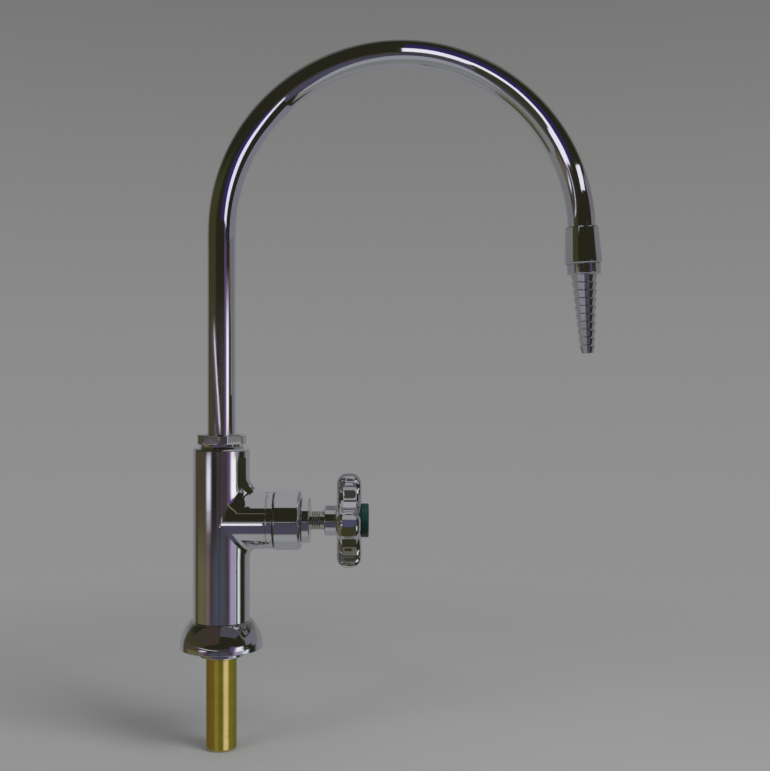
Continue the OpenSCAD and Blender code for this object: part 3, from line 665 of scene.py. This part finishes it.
def make_handle():
    """Rough shape, remeshed evenly and then drawn onto the surface of handle_distance."""
    disc = lathe("wheel", [
        (0, ARM_X), (HANDLE_R, ARM_X, 5.7), (HANDLE_R, HANDLE_FRONT, 5.7), (0, HANDLE_FRONT),
    ], closed=False)
    hub = lathe("tool", [
        (0, HUB_X), (HUB_R, HUB_X), (HUB_R, ARM_X + 3), (0, ARM_X + 3),
    ], closed=False)
    combine(disc, [hub], "UNION")
    combine(disc, [drill(SCALLOP_R, ARM_X - 1, HANDLE_FRONT + 1,
                         Matrix.Translation((sx * MM, sy * MM, 0)))
                   for sx, sy in DIAGONALS])
    skin = disc.modifiers.new("skin", "REMESH")
    skin.mode, skin.voxel_size = "VOXEL", 0.4 * MM
    settle(disc)
    mesh = disc.data
    place = np.zeros(len(mesh.vertices) * 3)
    mesh.vertices.foreach_get("co", place)
    place = place.reshape(-1, 3) / MM
    step = 1e-3
    for _ in range(4):
        distance = handle_distance(place)
        ahead = [handle_distance(place + step * axis) for axis in np.eye(3)]
        behind = [handle_distance(place - step * axis) for axis in np.eye(3)]
        slope = (np.stack(ahead, axis=1) - np.stack(behind, axis=1)) / (2 * step)
        size = np.maximum((slope ** 2).sum(1), 0.25)
        place -= slope * (distance / size)[:, None]
    mesh.vertices.foreach_set("co", (place * MM).ravel())
    mesh.transform(ON_BRANCH)
    mesh.update()

    def square(a):
        r = square_r(a, SQUARE_HALF + JOINT_GAP)
        return [(0, SQUARE_X - 1), (r, SQUARE_X - 1), (r, WEB_X), (0, WEB_X)]

    eighths = [math.pi / 4 * k for k in range(8)]
    return combine(disc, [
        drill(STEM_R + JOINT_GAP, HUB_X - 1, SQUARE_X, ON_BRANCH),
        columns("tool", square, eighths, ON_BRANCH, False),
        drill(SCREW_R, WEB_X - 1, HANDLE_FRONT, ON_BRANCH),
        drill(SCREW_HEAD_R, SCREW_SEAT_X, HANDLE_FRONT, ON_BRANCH),
        drill(PLUG_R + JOINT_GAP, PLUG_FLOOR, HANDLE_FRONT + 1, ON_BRANCH),
    ])


# The stem

def make_stem():
    hole_floor, thread_start, thread_end, chamfer = 21.45, 18.05, 29.75, 0.3
    root_r = STEM_THREAD_R - chamfer
    grooves = []
    for k in range(4):
        w = 51.6 + 1.25 * k
        grooves += [(STEM_R, w - 0.35, 0.08), (STEM_R - 0.25, w, 0.12), (STEM_R, w + 0.35, 0.08)]
    shoulder = SQUARE_X + 0.02
    outline = soften([
        (0, hole_floor), (PIVOT_R, hole_floor), (PIVOT_R, STEM_X), (5.3, STEM_X),
        (5.6, STEM_X + chamfer), (5.6, thread_start), (root_r, thread_start),
        (STEM_THREAD_R, thread_start + chamfer), (STEM_THREAD_R, thread_end - chamfer),
        (root_r, thread_end), (STEM_R, thread_end), *grooves, (STEM_R, SQUARE_X),
        (SQUARE_CORNER_R, shoulder),
    ], False)

    def column(a):
        flat = square_r(a, SQUARE_HALF)
        r, tip_r = min(flat, SQUARE_CORNER_R), min(flat, SQUARE_CORNER_R - 0.5)
        rows = [tuple(p) for p in outline]
        rows += [(r, shoulder), (r, SQUARE_END - 0.5), (tip_r, SQUARE_END)]
        return rows + [(SCREW_R, SQUARE_END), (SCREW_R, STEM_HOLE_X), (0, STEM_HOLE_X)]

    trim = math.degrees(math.acos(SQUARE_HALF / SQUARE_CORNER_R))
    steps = sorted({round(x, 6) for x in [*np.linspace(-45, 45, 25), -trim, trim]})
    angles = [math.radians(90 * k + x) for k in range(4) for x in steps[:-1]]
    return columns("spindle", column, angles, ON_BRANCH, False)


# The turned pieces

def dome(radius, centre, top, steps=24):
    """Arc of the flange's section, from its rim up to a height."""
    end = math.asin((top - RIM_TOP) / radius)
    turns = [end * k / steps for k in range(steps + 1)]
    return [(centre + radius * math.cos(a), RIM_TOP + radius * math.sin(a)) for a in turns]


def make_flange():
    rise = FLANGE_TOP - RIM_TOP
    radius = (DOME_RUN ** 2 + rise ** 2) / (2 * DOME_RUN)
    centre = FLANGE_R - radius
    outer = dome(radius, centre, FLANGE_TOP)
    inner = dome(radius - DOME_WALL, centre, FLANGE_TOP - DOME_TOP_WALL)
    hole_r = SPIGOT_R + JOINT_GAP
    return lathe("flange", [
        (FLANGE_R - DOME_WALL, 0), (FLANGE_R, 0, 0.25), *outer[:-1], (*outer[-1], 0.35),
        (hole_r, FLANGE_TOP), (hole_r, FLANGE_TOP - DOME_TOP_WALL), *inner[::-1],
    ])


def make_shank():
    chamfer = 1.2
    return lathe("shank", [
        (SHANK_BORE_R, SHANK_LOW, 0.3), (SHANK_R - chamfer, SHANK_LOW, 0.2),
        (SHANK_R, SHANK_LOW + chamfer, 0.3), (SHANK_R, SHANK_MARK - 0.2, 0.05),
        (SHANK_R - 0.12, SHANK_MARK, 0.05), (SHANK_R, SHANK_MARK + 0.2, 0.05),
        (SHANK_R, SHANK_STEP, 0.1), (SHANK_SCREWED_R, SHANK_STEP),
        (SHANK_SCREWED_R, SHANK_TOP - 0.5), (SHANK_SCREWED_R - 0.5, SHANK_TOP),
        (SHANK_BORE_R, SHANK_TOP),
    ])


def make_coupling():
    tube_r, screw_r, screw_start = TUBE_R + JOINT_GAP, NOZZLE_SCREW_R + JOINT_GAP, 12.3
    return lathe("coupling", [
        (tube_r, COUPLING_START, 0.2), (9.4, COUPLING_START, 1.1), (COUPLING_R, 19.8, 0.6),
        (COUPLING_R, 20.9, 0.2), (COUPLING_R - 0.5, NOZZLE_SHOULDER, 0.15),
        (screw_r, NOZZLE_SHOULDER), (screw_r, screw_start), (TUBE_BORE_R, screw_start),
        (TUBE_BORE_R, TUBE_STOP), (tube_r, TUBE_STOP),
    ], AT_OUTLET)


def make_nozzle():
    barbs = []
    for k in range(BARBS):
        r, w = BARB_R - k * BARB_FALL, BARB_START + k * BARB_PITCH
        barbs += [(r, w, 0.12), (r, w + 0.5, 0.3)]
        barbs += [(r - BARB_DEPTH - BARB_FALL, w + BARB_PITCH, 0.05)]
    return lathe("nozzle", [
        (NOZZLE_BORE_R, NOZZLE_START), (NOZZLE_SCREW_R - 0.5, NOZZLE_START),
        (NOZZLE_SCREW_R, NOZZLE_START + 0.5), (NOZZLE_SCREW_R, NOZZLE_SHOULDER + JOINT_GAP),
        (NOZZLE_R, NOZZLE_SHOULDER + JOINT_GAP, 0.35), (NOZZLE_R, BARB_START, 0.5), *barbs,
        (NOZZLE_BORE_R, BARB_START + BARBS * BARB_PITCH, 0.2),
    ], AT_OUTLET)


def make_bonnet():
    bore_r = STEM_THREAD_R + RUNNING_GAP
    return lathe("bonnet_cap", [
        (bore_r, CAP_X), (CAP_R - 0.5, CAP_X), (CAP_R, CAP_X + 0.5), (CAP_R, BONNET_X),
        (BONNET_R, BONNET_X, 0.7), (BONNET_R, BONNET_FRONT, 2.2), (PACKING_R, BONNET_FRONT, 0.3),
        (PACKING_R, PACKING_X), (bore_r, PACKING_X),
    ], ON_BRANCH)


def make_gasket():
    hole_r = CAP_R + JOINT_GAP
    return lathe("gasket_ring", [
        (hole_r, BRANCH_END), (GASKET_R, BRANCH_END, 0.15), (GASKET_R, BONNET_X, 0.15),
        (hole_r, BONNET_X),
    ], ON_BRANCH)


def make_gland_nut():
    bore_r = STEM_R + RUNNING_GAP
    return lathe("gland_nut", [
        (bore_r, GLAND_NUT_X), (GLAND_SCREW_R - 0.5, GLAND_NUT_X),
        (GLAND_SCREW_R, GLAND_NUT_X + 0.5), (GLAND_SCREW_R, GLAND_HEAD_X),
        (GLAND_HEAD_R, GLAND_HEAD_X, 0.7), (GLAND_HEAD_R, GLAND_FRONT, 0.7),
        (bore_r, GLAND_FRONT, 0.3),
    ], ON_BRANCH)


def make_button():
    plug_end, dish = HANDLE_FRONT - 2, BUTTON_FACE - 0.2
    return lathe("button", [
        (0, plug_end), (PLUG_R - 0.3, plug_end), (PLUG_R, plug_end + 0.3),
        (PLUG_R, HANDLE_FRONT), (BUTTON_R, HANDLE_FRONT, 0.3), (BUTTON_R, BUTTON_FACE, 0.6),
        (BUTTON_R - 1.5, BUTTON_FACE, 0.3), (BUTTON_R - 1.7, dish, 0.3), (0, dish),
    ], ON_BRANCH, False)


# Each piece with the node that it stands for, its body and its finish
PIECES = [
    (make_flange(), "base_flange", "base", "chrome"),
    (make_shank(), "inlet_shank", "base", "raw_brass"),
    (make_casting(), "body", "base", "chrome"),
    (make_nut(), "swivel_nut", "base", "chrome"),
    (make_tube("gooseneck", gooseneck_path(), TUBE_R, TUBE_BORE_R), "gooseneck_tube", "spout",
     "chrome_tube"),
    (make_coupling(), "outlet_coupling", "spout", "chrome"),
    (make_nozzle(), "hose_nozzle", "spout", "chrome_nozzle"),
    (make_bonnet(), "bonnet", "base", "chrome"),
    (make_gasket(), "bonnet_gasket", "base", "rubber"),
    (make_gland_nut(), "packing_nut", "base", "chrome"),
    (make_stem(), "stem", "handle_set", "stem_brass"),
    (make_handle(), "handle", "handle_set", "chrome_handle"),
    (make_button(), "index_button", "handle_set", "green_plastic"),
]
for piece, node, body, slot in PIECES:
    dress(piece, node, body, slot)

# The hidden pieces keep their solids
HIDDEN = {
    "friction_washer": "low_friction", "spout_collar": "inner_brass", "spout_o_rings": "rubber",
    "valve_seat": "inner_brass", "seat_washer": "rubber", "washer_screw": "stainless",
    "washer_holder": "inner_brass", "holder_ring": "stainless", "stem_packing": "low_friction",
    "packing_gland": "inner_brass", "handle_screw": "stainless",
}
for node, slot in HIDDEN.items():
    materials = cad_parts[node].data.materials
    materials.clear()
    materials.append(FINISHES[slot])


# Floor

# Half of the floor's side, and the distances between which it fades, in metres
FLOOR_HALF = 3.0
FLOOR_NEAR, FLOOR_FAR = 0.15, 0.60
PAPER = (0.288, 0.290, 0.290)


def make_floor():
    """Pale paper that fades into the background far away. Polished metal sees the room instead."""
    steps = 24
    side = np.linspace(-FLOOR_HALF, FLOOR_HALF, steps + 1)
    mesh = bpy.data.meshes.new("floor")
    mesh.from_pydata([(x, y, SHANK_LOW * MM) for x in side.tolist() for y in side.tolist()], [],
                     grid_faces(steps + 1, steps + 1, False, False))
    floor = bpy.data.objects.new("floor", mesh)
    bpy.context.scene.collection.objects.link(floor)
    material, nodes, links, shader = new_material("paper")
    shader.inputs["Roughness"].default_value = 0.9
    shader.inputs["Specular IOR Level"].default_value = 0.1
    darker = tuple(0.94 * c for c in PAPER)
    fibre = noise(nodes, links, scale=6, detail=3)
    links.new(blend_colours(nodes, links, fibre, PAPER, darker), shader.inputs["Base Color"])
    place = nodes.new("ShaderNodeTexCoord")
    far = from_axis(nodes, links, place.outputs["Object"], FLOOR_NEAR, FLOOR_FAR, 0, 1)
    clear = nodes.new("ShaderNodeBsdfTransparent")
    surface = mix_shaders(nodes, links, far, shader.outputs["BSDF"], clear.outputs["BSDF"])
    links.new(surface, nodes["Material Output"].inputs["Surface"])
    mesh.materials.append(material)
    floor.visible_glossy = False


make_floor()


# The room that polished metal sees

# Side (0 both, 1 right, -1 left), azimuth from the camera's side, elevation,
# softness of both, colour, and how far the azimuth leans for each degree of
# elevation. Degrees. Later rows cover earlier ones.
ROOM_BASE = (0.022, 0.022, 0.012)
ROOM = [
    # The pale backdrop behind, darker towards its top
    (0, (122, 190), (-90, 66), (12, 8), (0.110, 0.112, 0.105)),
    (0, (118, 190), (-90, 16), (10, 14), (0.245, 0.245, 0.255)),
    (1, (102, 130), (-2.5, 24), (6, 1), (0.190, 0.180, 0.210)),
    (1, (78, 130), (4, 24), (6, 1.5), (0.180, 0.170, 0.200)),
    # Brown and olive on the left
    (-1, (40, 118), (-90, 26), (8, 6), (0.050, 0.050, 0.020)),
    (-1, (58, 118), (-90, 3), (8, 3), (0.075, 0.058, 0.034)),
    (-1, (62, 100), (-90, -7.5), (9, 2), (0.130, 0.135, 0.062)),
    (-1, (33, 60), (-14, -7.5), (6, 2), (0.180, 0.125, 0.118)),
    # In front
    (0, (0, 40), (-46, 3), (8, 2), (0.060, 0.046, 0.050)),
    (0, (0, 24), (-13, -7.5), (9, 2), (0.070, 0.080, 0.104)),
    (0, (0, 40), (-50, -13), (12, 3), (0.078, 0.075, 0.118)),
    (-1, (11, 33), (-7.5, 3), (3, 2), (0.022, 0.020, 0.020)),
    # The pale table top
    (0, (0, 190), (-90, -50), (1, 5), (0.260, 0.265, 0.270)),
    (0, (0, 60), (-82, -52), (16, 4), (0.330, 0.335, 0.330)),
    # Soft lights
    (1, (32, 48), (-7.5, 8), (4, 3), (0.130, 0.080, 0.200)),
    (1, (42, 68), (-14, -7.5), (8, 1.5), (0.400, 0.330, 0.500)),
    (1, (48, 69), (-3, 4), (6, 2), (1.100, 1.070, 1.130)),
    (1, (46, 70), (-7.5, -3), (6, 1), (1.100, 1.070, 1.100)),
    (1, (68, 88), (-14, -7.5), (6, 1.5), (0.760, 0.840, 0.880)),
    (-1, (36, 54), (-6.5, -3), (7, 1.5), (0.900, 0.880, 1.050)),
    (-1, (33, 52), (-2.2, 2.9), (5, 0.5), (0.110, 0.080, 0.150), 10.2),
    (-1, (20, 33), (-2.2, 2.8), (3, 0.4), (0.800, 0.800, 0.790), 10.2),
    # Narrow bands at the height of the swivel nut
    (1, (62, 86), (-3.45, -2.35), (4, 0.2), (0.210, 0.210, 0.210)),
    (-1, (36, 62), (-3.45, -2.35), (3, 0.2), (0.040, 0.037, 0.026)),
]

# What lights everything that isn't polished
AMBIENT = (0.50, 0.50, 0.51)

# What the camera sees behind the object: sine of the elevation, and colour
BACKGROUND = [
    (-0.34, (0.290, 0.292, 0.292)), (-0.10, (0.280, 0.281, 0.285)),
    (0.06, (0.258, 0.257, 0.262)), (0.20, (0.222, 0.222, 0.220)), (0.34, (0.178, 0.180, 0.178)),
]


def make_world():
    world = bpy.data.worlds.new("studio")
    bpy.context.scene.world = world
    world.use_nodes = True
    nodes, links = world.node_tree.nodes, world.node_tree.links
    nodes.clear()
    place = nodes.new("ShaderNodeTexCoord")
    split = nodes.new("ShaderNodeSeparateXYZ")
    links.new(place.outputs["Generated"], split.inputs["Vector"])

    def math_node(operation, a, b=None):
        node = add(nodes, "ShaderNodeMath", operation=operation)
        for socket, value in zip(node.inputs, (a, b)):
            if value is None:
                continue
            if isinstance(value, (int, float)):
                socket.default_value = value
            else:
                links.new(value, socket)
        return node.outputs[0]

    degrees = math.degrees(1)
    forward = math_node("MULTIPLY", split.outputs["Y"], -1.0)
    round_axis = math_node("ARCTAN2", split.outputs["X"], forward)
    azimuth = math_node("MULTIPLY", round_axis, degrees)
    elevation = math_node("MULTIPLY", math_node("ARCSINE", split.outputs["Z"]), degrees)
    mirrored = math_node("MULTIPLY", azimuth, -1.0)
    turned = {1: azimuth, -1: mirrored, 0: math_node("ABSOLUTE", azimuth)}

    def window(value, low, high, soft):
        """1 between low and high, with edges as soft as told."""
        rise = remap(nodes, links, value, (low - soft, low + soft), (0, 1), "SMOOTHSTEP")
        fall = remap(nodes, links, value, (high - soft, high + soft), (1, 0), "SMOOTHSTEP")
        return math_node("MULTIPLY", rise, fall)

    def background(tone):
        node = nodes.new("ShaderNodeBackground")
        if isinstance(tone, tuple):
            node.inputs["Color"].default_value = (*tone, 1)
        else:
            links.new(tone, node.inputs["Color"])
        return node.outputs["Background"]

    colour = ROOM_BASE
    for side, across, up, soft, tone, *lean in ROOM:
        value = turned[side]
        if lean:
            value = math_node("SUBTRACT", value, math_node("MULTIPLY", elevation, lean[0]))
        share = math_node("MULTIPLY", window(value, *across, soft[0]),
                          window(elevation, *up, soft[1]))
        colour = blend_colours(nodes, links, share, colour, tone)

    lowest, highest = BACKGROUND[0][0], BACKGROUND[-1][0]
    sky = nodes.new("ShaderNodeValToRGB")
    level = remap(nodes, links, split.outputs["Z"], (lowest, highest), (0, 1))
    links.new(level, sky.inputs["Fac"])
    stops = sky.color_ramp.elements
    for z, tone in BACKGROUND[1:-1]:
        stops.new((z - lowest) / (highest - lowest)).color = (*tone, 1)
    for stop, (_, tone) in ((stops[0], BACKGROUND[0]), (stops[-1], BACKGROUND[-1])):
        stop.color = (*tone, 1)

    ray = nodes.new("ShaderNodeLightPath")
    surface = mix_shaders(nodes, links, ray.outputs["Is Glossy Ray"],
                          background(AMBIENT), background(colour))
    surface = mix_shaders(nodes, links, ray.outputs["Is Camera Ray"],
                          surface, background(sky.outputs["Color"]))
    output = nodes.new("ShaderNodeOutputWorld")
    links.new(surface, output.inputs["Surface"])


make_world()


# Glowing cards near the object, for what only one part of it shows: painted reflections, that is
# painted highlights, tinted bands and dark patches of painted shade

# The planes of the cards that the tube shows: a place, and the direction across the plane
BEFORE_ARCH = (Vector((0, -117, 0)), Vector((0, 1, 0)))
RIGHT_OF_ARCH = (Vector((300, 0, 0)), Vector((1, 0, 0)))
UNDER_ARCH = (Vector((0, 0, 148)), Vector((0, 0, 1)))
BEFORE_BEND = (Vector((60, -60, 0)), Vector((-140, 45, 0)))
INSIDE_BEND = (Vector((60, 0, 0)), Vector((1, 0, 0)))

# Places that a card faces if it shows on one side only
TO_ARCH = (ARCH_R, 0, ARCH_Z)
TO_BEND = (0, 0, 270)
TO_BARREL = (0, 0, BRANCH_Z)
TO_BRANCH = (40, 0, BRANCH_Z)
TO_HANDLE = (72, 0, BRANCH_Z)
TO_FLANGE = (0, 0, 10)
TO_OUTLET = (2 * ARCH_R, 0, 200)


def seen_in_tube(plane, angle, edge):
    """Place on a plane that the camera sees mirrored in the bent tube.

    The angle runs along the arch, 0 at its top and 90 over the outlet. The edge is
    where the mirrored place shows across the tube, from -1 inside to 1 outside.
    """
    a = math.radians(angle)
    outwards = Vector((math.sin(a), 0, math.cos(a)))
    middle = Vector((ARCH_R, 0, ARCH_Z)) + ARCH_R * outwards
    sight = (EYE - middle).normalized()
    turn = math.atan2(sight.dot(outwards), -sight.y) + math.asin(edge)
    normal = Vector((0, -math.cos(turn), 0)) + math.sin(turn) * outwards
    skin = middle + TUBE_R * normal
    ray = (skin - EYE).normalized().reflect(normal)
    on, across = plane
    return skin + ray * ((on - skin).dot(across) / ray.dot(across))


def band(plane, *rows):
    """Rows of a card that shows as a band on the tube. Each is an angle and two edges."""
    return [[seen_in_tube(plane, angle, edge) for edge in edges] for angle, *edges in rows]


def up_to_middle(rows):
    """Ends each row where it meets the middle plane, y = 0."""
    return [[near, near.lerp(far, near.y / (near.y - far.y))] for near, far in rows]


def rectangle(low, high):
    """Rows of a level card, or of an upright one, between two opposite corners."""
    (x0, y0, z0), (x1, y1, z1) = low, high
    if z0 == z1:
        return [[(x0, y0, z0), (x1, y0, z0)], [(x0, y1, z0), (x1, y1, z0)]]
    return [[(x0, y0, z0), (x1, y1, z0)], [(x0, y0, z1), (x1, y1, z1)]]


# Rows of two places, colour, and the place that the card faces, or None if it shows on both sides
CARDS = {
    "line_by_arch": (band(
        BEFORE_ARCH, (0, 0.19, 0.43), (10, 0.19, 0.42), (21, 0.17, 0.38), (23, 0.24, 0.39),
        (38, 0.22, 0.37), (50, 0.16, 0.31), (54, 0.11, 0.28), (56, -0.06, 0.25),
        (62, -0.10, 0.22), (68, -0.14, 0.16),
    ), (1.000, 0.980, 1.080), None),
    "violet_by_arch": (band(
        BEFORE_ARCH, (1, 0.43, 0.68), (15, 0.42, 0.67), (30, 0.38, 0.62), (50, 0.31, 0.56),
        (60, 0.24, 0.50), (67, 0.17, 0.40),
    ), (0.030, 0.022, 0.100), None),
    "olive_by_arch": (band(
        BEFORE_ARCH, (24, -0.10, 0.23), (38, -0.15, 0.21), (50, -0.20, 0.15), (54, -0.21, 0.10),
        (56, -0.22, -0.07), (62, -0.26, -0.11), (68, -0.28, -0.15),
    ), (0.040, 0.042, 0.022), None),
    # A painted glint on the bend near the outlet
    "glint_by_arch": (band(
        RIGHT_OF_ARCH, (69, 0.46, 0.74), (73, 0.39, 0.67), (77, 0.32, 0.58),
    ), (0.980, 0.940, 1.080), None),
    "line_by_bend": (band(
        BEFORE_BEND, (-88, -0.32, -0.30), (-86, -0.31, -0.15), (-74, -0.28, -0.07),
        (-65, -0.24, -0.02), (-54, -0.22, -0.05), (-47, -0.16, -0.03), (-41, -0.08, 0.02),
    ), (0.950, 0.920, 1.100), TO_BEND),
    "violet_by_bend": (band(
        BEFORE_BEND, (-86, -0.15, 0.10), (-74, -0.07, 0.18), (-65, -0.02, 0.20),
        (-54, -0.05, 0.11), (-47, -0.03, 0.12),
    ), (0.036, 0.026, 0.125), TO_BEND),
    "dark_by_bend": (band(
        INSIDE_BEND, (-96, -0.56, -0.31), (-70, -0.55, -0.27), (-50, -0.59, -0.20),
        (-42, -0.50, -0.10),
    ), (0.022, 0.022, 0.016), TO_BEND),
    "pale_by_bend": (band(
        INSIDE_BEND, (-97, -0.95, -0.56), (-70, -0.95, -0.55), (-50, -0.95, -0.59),
        (-42, -0.95, -0.50),
    ), (0.220, 0.220, 0.260), TO_BEND),
    "pale_under_arch": (band(
        UNDER_ARCH, (-37, -0.38, -0.42), (-30, -0.32, -0.48), (-20, -0.20, -0.40),
        (-10, -0.12, -0.34), (0, -0.07, -0.30), (10, -0.06, -0.28), (20, -0.09, -0.27),
        (30, -0.22, -0.32), (36, -0.30, -0.36),
    ), (0.340, 0.340, 0.385), TO_ARCH),
    "grey_under_arch": (up_to_middle(band(
        UNDER_ARCH, (-37, -0.42, -0.95), (-30, -0.48, -0.95), (-20, -0.40, -0.95),
        (-10, -0.34, -0.95), (0, -0.30, -0.95), (10, -0.28, -0.95), (20, -0.27, -0.95),
        (30, -0.32, -0.95), (45, -0.30, -0.95), (60, -0.30, -0.95),
    )), (0.225, 0.232, 0.225), TO_ARCH),
    "line_by_branch": (rectangle((1, -22, 68.7), (24, -22, 71)), (0.950, 0.950, 0.980), None),
    "olive_by_branch": (rectangle((9, -22, 81.1), (26, -22, 82)), (0.160, 0.160, 0.100), None),
    "above_branch": (rectangle((8, -59, 147), (66, 250, 147)), (0.340, 0.342, 0.346), TO_BRANCH),
    "dark_above_branch": (rectangle((-40, -59.5, 147), (66, -200, 147)),
                          (0.022, 0.022, 0.013), TO_BRANCH),
    "beside_upper_round": (rectangle((30, -11.5, 88.5), (30, 5, 106)),
                           (0.030, 0.030, 0.016), TO_BARREL),
    "above_handle": (rectangle((66, -34, 125), (100, 60, 125)), (0.430, 0.430, 0.460), TO_HANDLE),
    "above_handle_top": (rectangle((55, -7, 103), (95, 40, 103)),
                         (0.170, 0.165, 0.180), TO_HANDLE),
    "before_top_arm": (rectangle((63, -33, 76), (104, -33, 112)),
                       (0.330, 0.335, 0.325), TO_HANDLE),
    # A painted dark oval on the handle's top arm, and a painted glint beside it
    "dark_top_arm": ([[(68.5, -32, 84), (73, -32, 84)], [(67.6, -32, 88), (90, -32, 88)],
                      [(67.6, -32, 98), (90, -32, 98)], [(68.8, -32, 103), (72, -32, 103)]],
                     (0.045, 0.047, 0.045), TO_HANDLE),
    "glint_top_arm": ([[(66, -31.5, 88), (67.6, -31.5, 88)],
                      [(66.4, -31.5, 95), (68.4, -31.5, 95)]], (0.950, 0.950, 0.900), TO_HANDLE),
    "before_near_arm": (rectangle((63, -33, 70), (104, -33, 76)),
                        (0.080, 0.080, 0.150), TO_HANDLE),
    "under_near_arm": (rectangle((63, -33, 58), (104, -33, 70)),
                       (0.045, 0.047, 0.022), TO_HANDLE),
    "before_low_arm": (rectangle((63, -33, 34), (104, -33, 58)),
                       (0.140, 0.140, 0.105), TO_HANDLE),
    "dark_low_arm": (rectangle((68.5, -32, 42), (73, -32, 49)),
                     (0.035, 0.035, 0.015), TO_HANDLE),
    "under_handle": (rectangle((66, -33, -10), (100, -33, 34)),
                     (0.035, 0.035, 0.018), TO_HANDLE),
    "below_handle": (rectangle((64, -16, 50), (82, -8, 50)), (0.035, 0.035, 0.018), TO_HANDLE),
    "above_flange_left": ([[(-160, -16, 60), (4, -26, 60)], [(-160, -240, 60), (4, -170, 60)]],
                          (0.055, 0.041, 0.032), TO_FLANGE),
    "above_flange_right": (rectangle((4, -24, 60), (75, -72, 60)),
                           (0.085, 0.080, 0.100), TO_FLANGE),
    "left_of_outlet": (rectangle((140, -22, 140), (140, 60, 260)),
                       (0.200, 0.200, 0.205), TO_OUTLET),
    "front_of_outlet": (rectangle((140, -22, 120), (190, -70, 196)),
                        (0.270, 0.275, 0.290), TO_OUTLET),
    "right_of_outlet": (rectangle((265, -14, 140), (265, 60, 260)),
                        (0.200, 0.200, 0.210), TO_OUTLET),
}

# This card reaches the riser, so it fades out towards its axis, between two distances in metres
FADING = "grey_under_arch"
FADE_NEAR, FADE_FAR = 0.012, 0.120

# Low ring of cards round the bare shank, painted reflections that give it its light and dark bands:
# from azimuth to azimuth in degrees, and colour
RING_R, RING_LOW, RING_HIGH = 20, -64, -7.5
RING = [
    (-205, -70, (0.165, 0.142, 0.065)), (-70, -35, (0.200, 0.150, 0.065)),
    (-35, -10, (0.310, 0.305, 0.150)), (-10, 20, (0.180, 0.180, 0.050)),
    (20, 50, (0.880, 0.880, 1.050)), (50, 86, (0.240, 0.240, 0.070)),
    (86, 155, (0.165, 0.200, 0.120)),
]


def make_card(name, rows, colour, faces_place=None):
    """Glowing panel that only polished metal sees, a painted reflection. From behind it is clear if
    it faces a place.
    """
    if faces_place:
        first, second, third = (Vector(p) for p in (rows[0][0], rows[0][1], rows[-1][1]))
        towards = Vector(faces_place) - (first + third) / 2
        if (second - first).cross(third - second).dot(towards) < 0:
            rows = rows[::-1]
    mesh = bpy.data.meshes.new(name)
    mesh.from_pydata([[v * MM for v in p] for row in rows for p in row], [],
                     grid_faces(len(rows), 2, False, False))
    material, nodes, links, _ = new_material(name)
    nodes.remove(nodes["Principled BSDF"])
    surface = add(nodes, "ShaderNodeEmission", in_Color=(*colour, 1)).outputs["Emission"]
    if faces_place:
        side = nodes.new("ShaderNodeNewGeometry")
        share = side.outputs["Backfacing"]
        if name == FADING:
            most = add(nodes, "ShaderNodeMath", operation="MAXIMUM")
            links.new(share, most.inputs[0])
            links.new(from_axis(nodes, links, side.outputs["Position"], FADE_NEAR, FADE_FAR, 1, 0),
                      most.inputs[1])
            share = most.outputs[0]
        clear = nodes.new("ShaderNodeBsdfTransparent")
        surface = mix_shaders(nodes, links, share, surface, clear.outputs["BSDF"])
    links.new(surface, nodes["Material Output"].inputs["Surface"])
    mesh.materials.append(material)
    card = bpy.data.objects.new(name, mesh)
    card.visible_camera = card.visible_diffuse = card.visible_shadow = False
    bpy.context.scene.collection.objects.link(card)


for name, (rows, colour, faces_place) in CARDS.items():
    make_card(name, rows, colour, faces_place)
for k, (start, end, colour) in enumerate(RING):
    turns = [math.radians(a) for a in np.linspace(start, end, 6)]
    make_card(f"round_shank_{k}", [
        [(RING_R * math.sin(a), -RING_R * math.cos(a), z) for z in (RING_LOW, RING_HIGH)]
        for a in turns], colour)


# Lamps and camera

# Where the lamps point, in metres, as are their own places and sizes
LAMPS_AIM = Vector((0.09, 0.0, 0.10))


def lamp(name, place, width, height, power, colour):
    """Soft panel that lights the object. Polished metal sees the room instead."""
    data = bpy.data.lights.new(name, "AREA")
    data.shape, data.size, data.size_y = "RECTANGLE", width, height
    data.energy, data.color = power, colour
    obj = bpy.data.objects.new(name, data)
    obj.location = place
    obj.rotation_euler = (LAMPS_AIM - Vector(place)).to_track_quat("-Z", "Y").to_euler()
    obj.visible_glossy = False
    obj.visible_camera = False
    bpy.context.scene.collection.objects.link(obj)


lamp("key", (0.75, -0.55, 0.95), 0.5, 0.7, 13.0, (1.0, 0.99, 0.97))
lamp("fill", (-0.70, -0.70, 0.60), 0.5, 0.8, 4.0, (0.95, 0.97, 1.0))

camera = bpy.data.objects.new("camera", bpy.data.cameras.new("camera"))
camera.data.lens = LENS
camera.data.sensor_width = SENSOR
camera.location = EYE * MM
camera.rotation_euler = (math.pi / 2, 0, 0)
bpy.context.scene.collection.objects.link(camera)
bpy.context.scene.camera = camera
bpy.context.scene.view_settings.view_transform = "Standard"
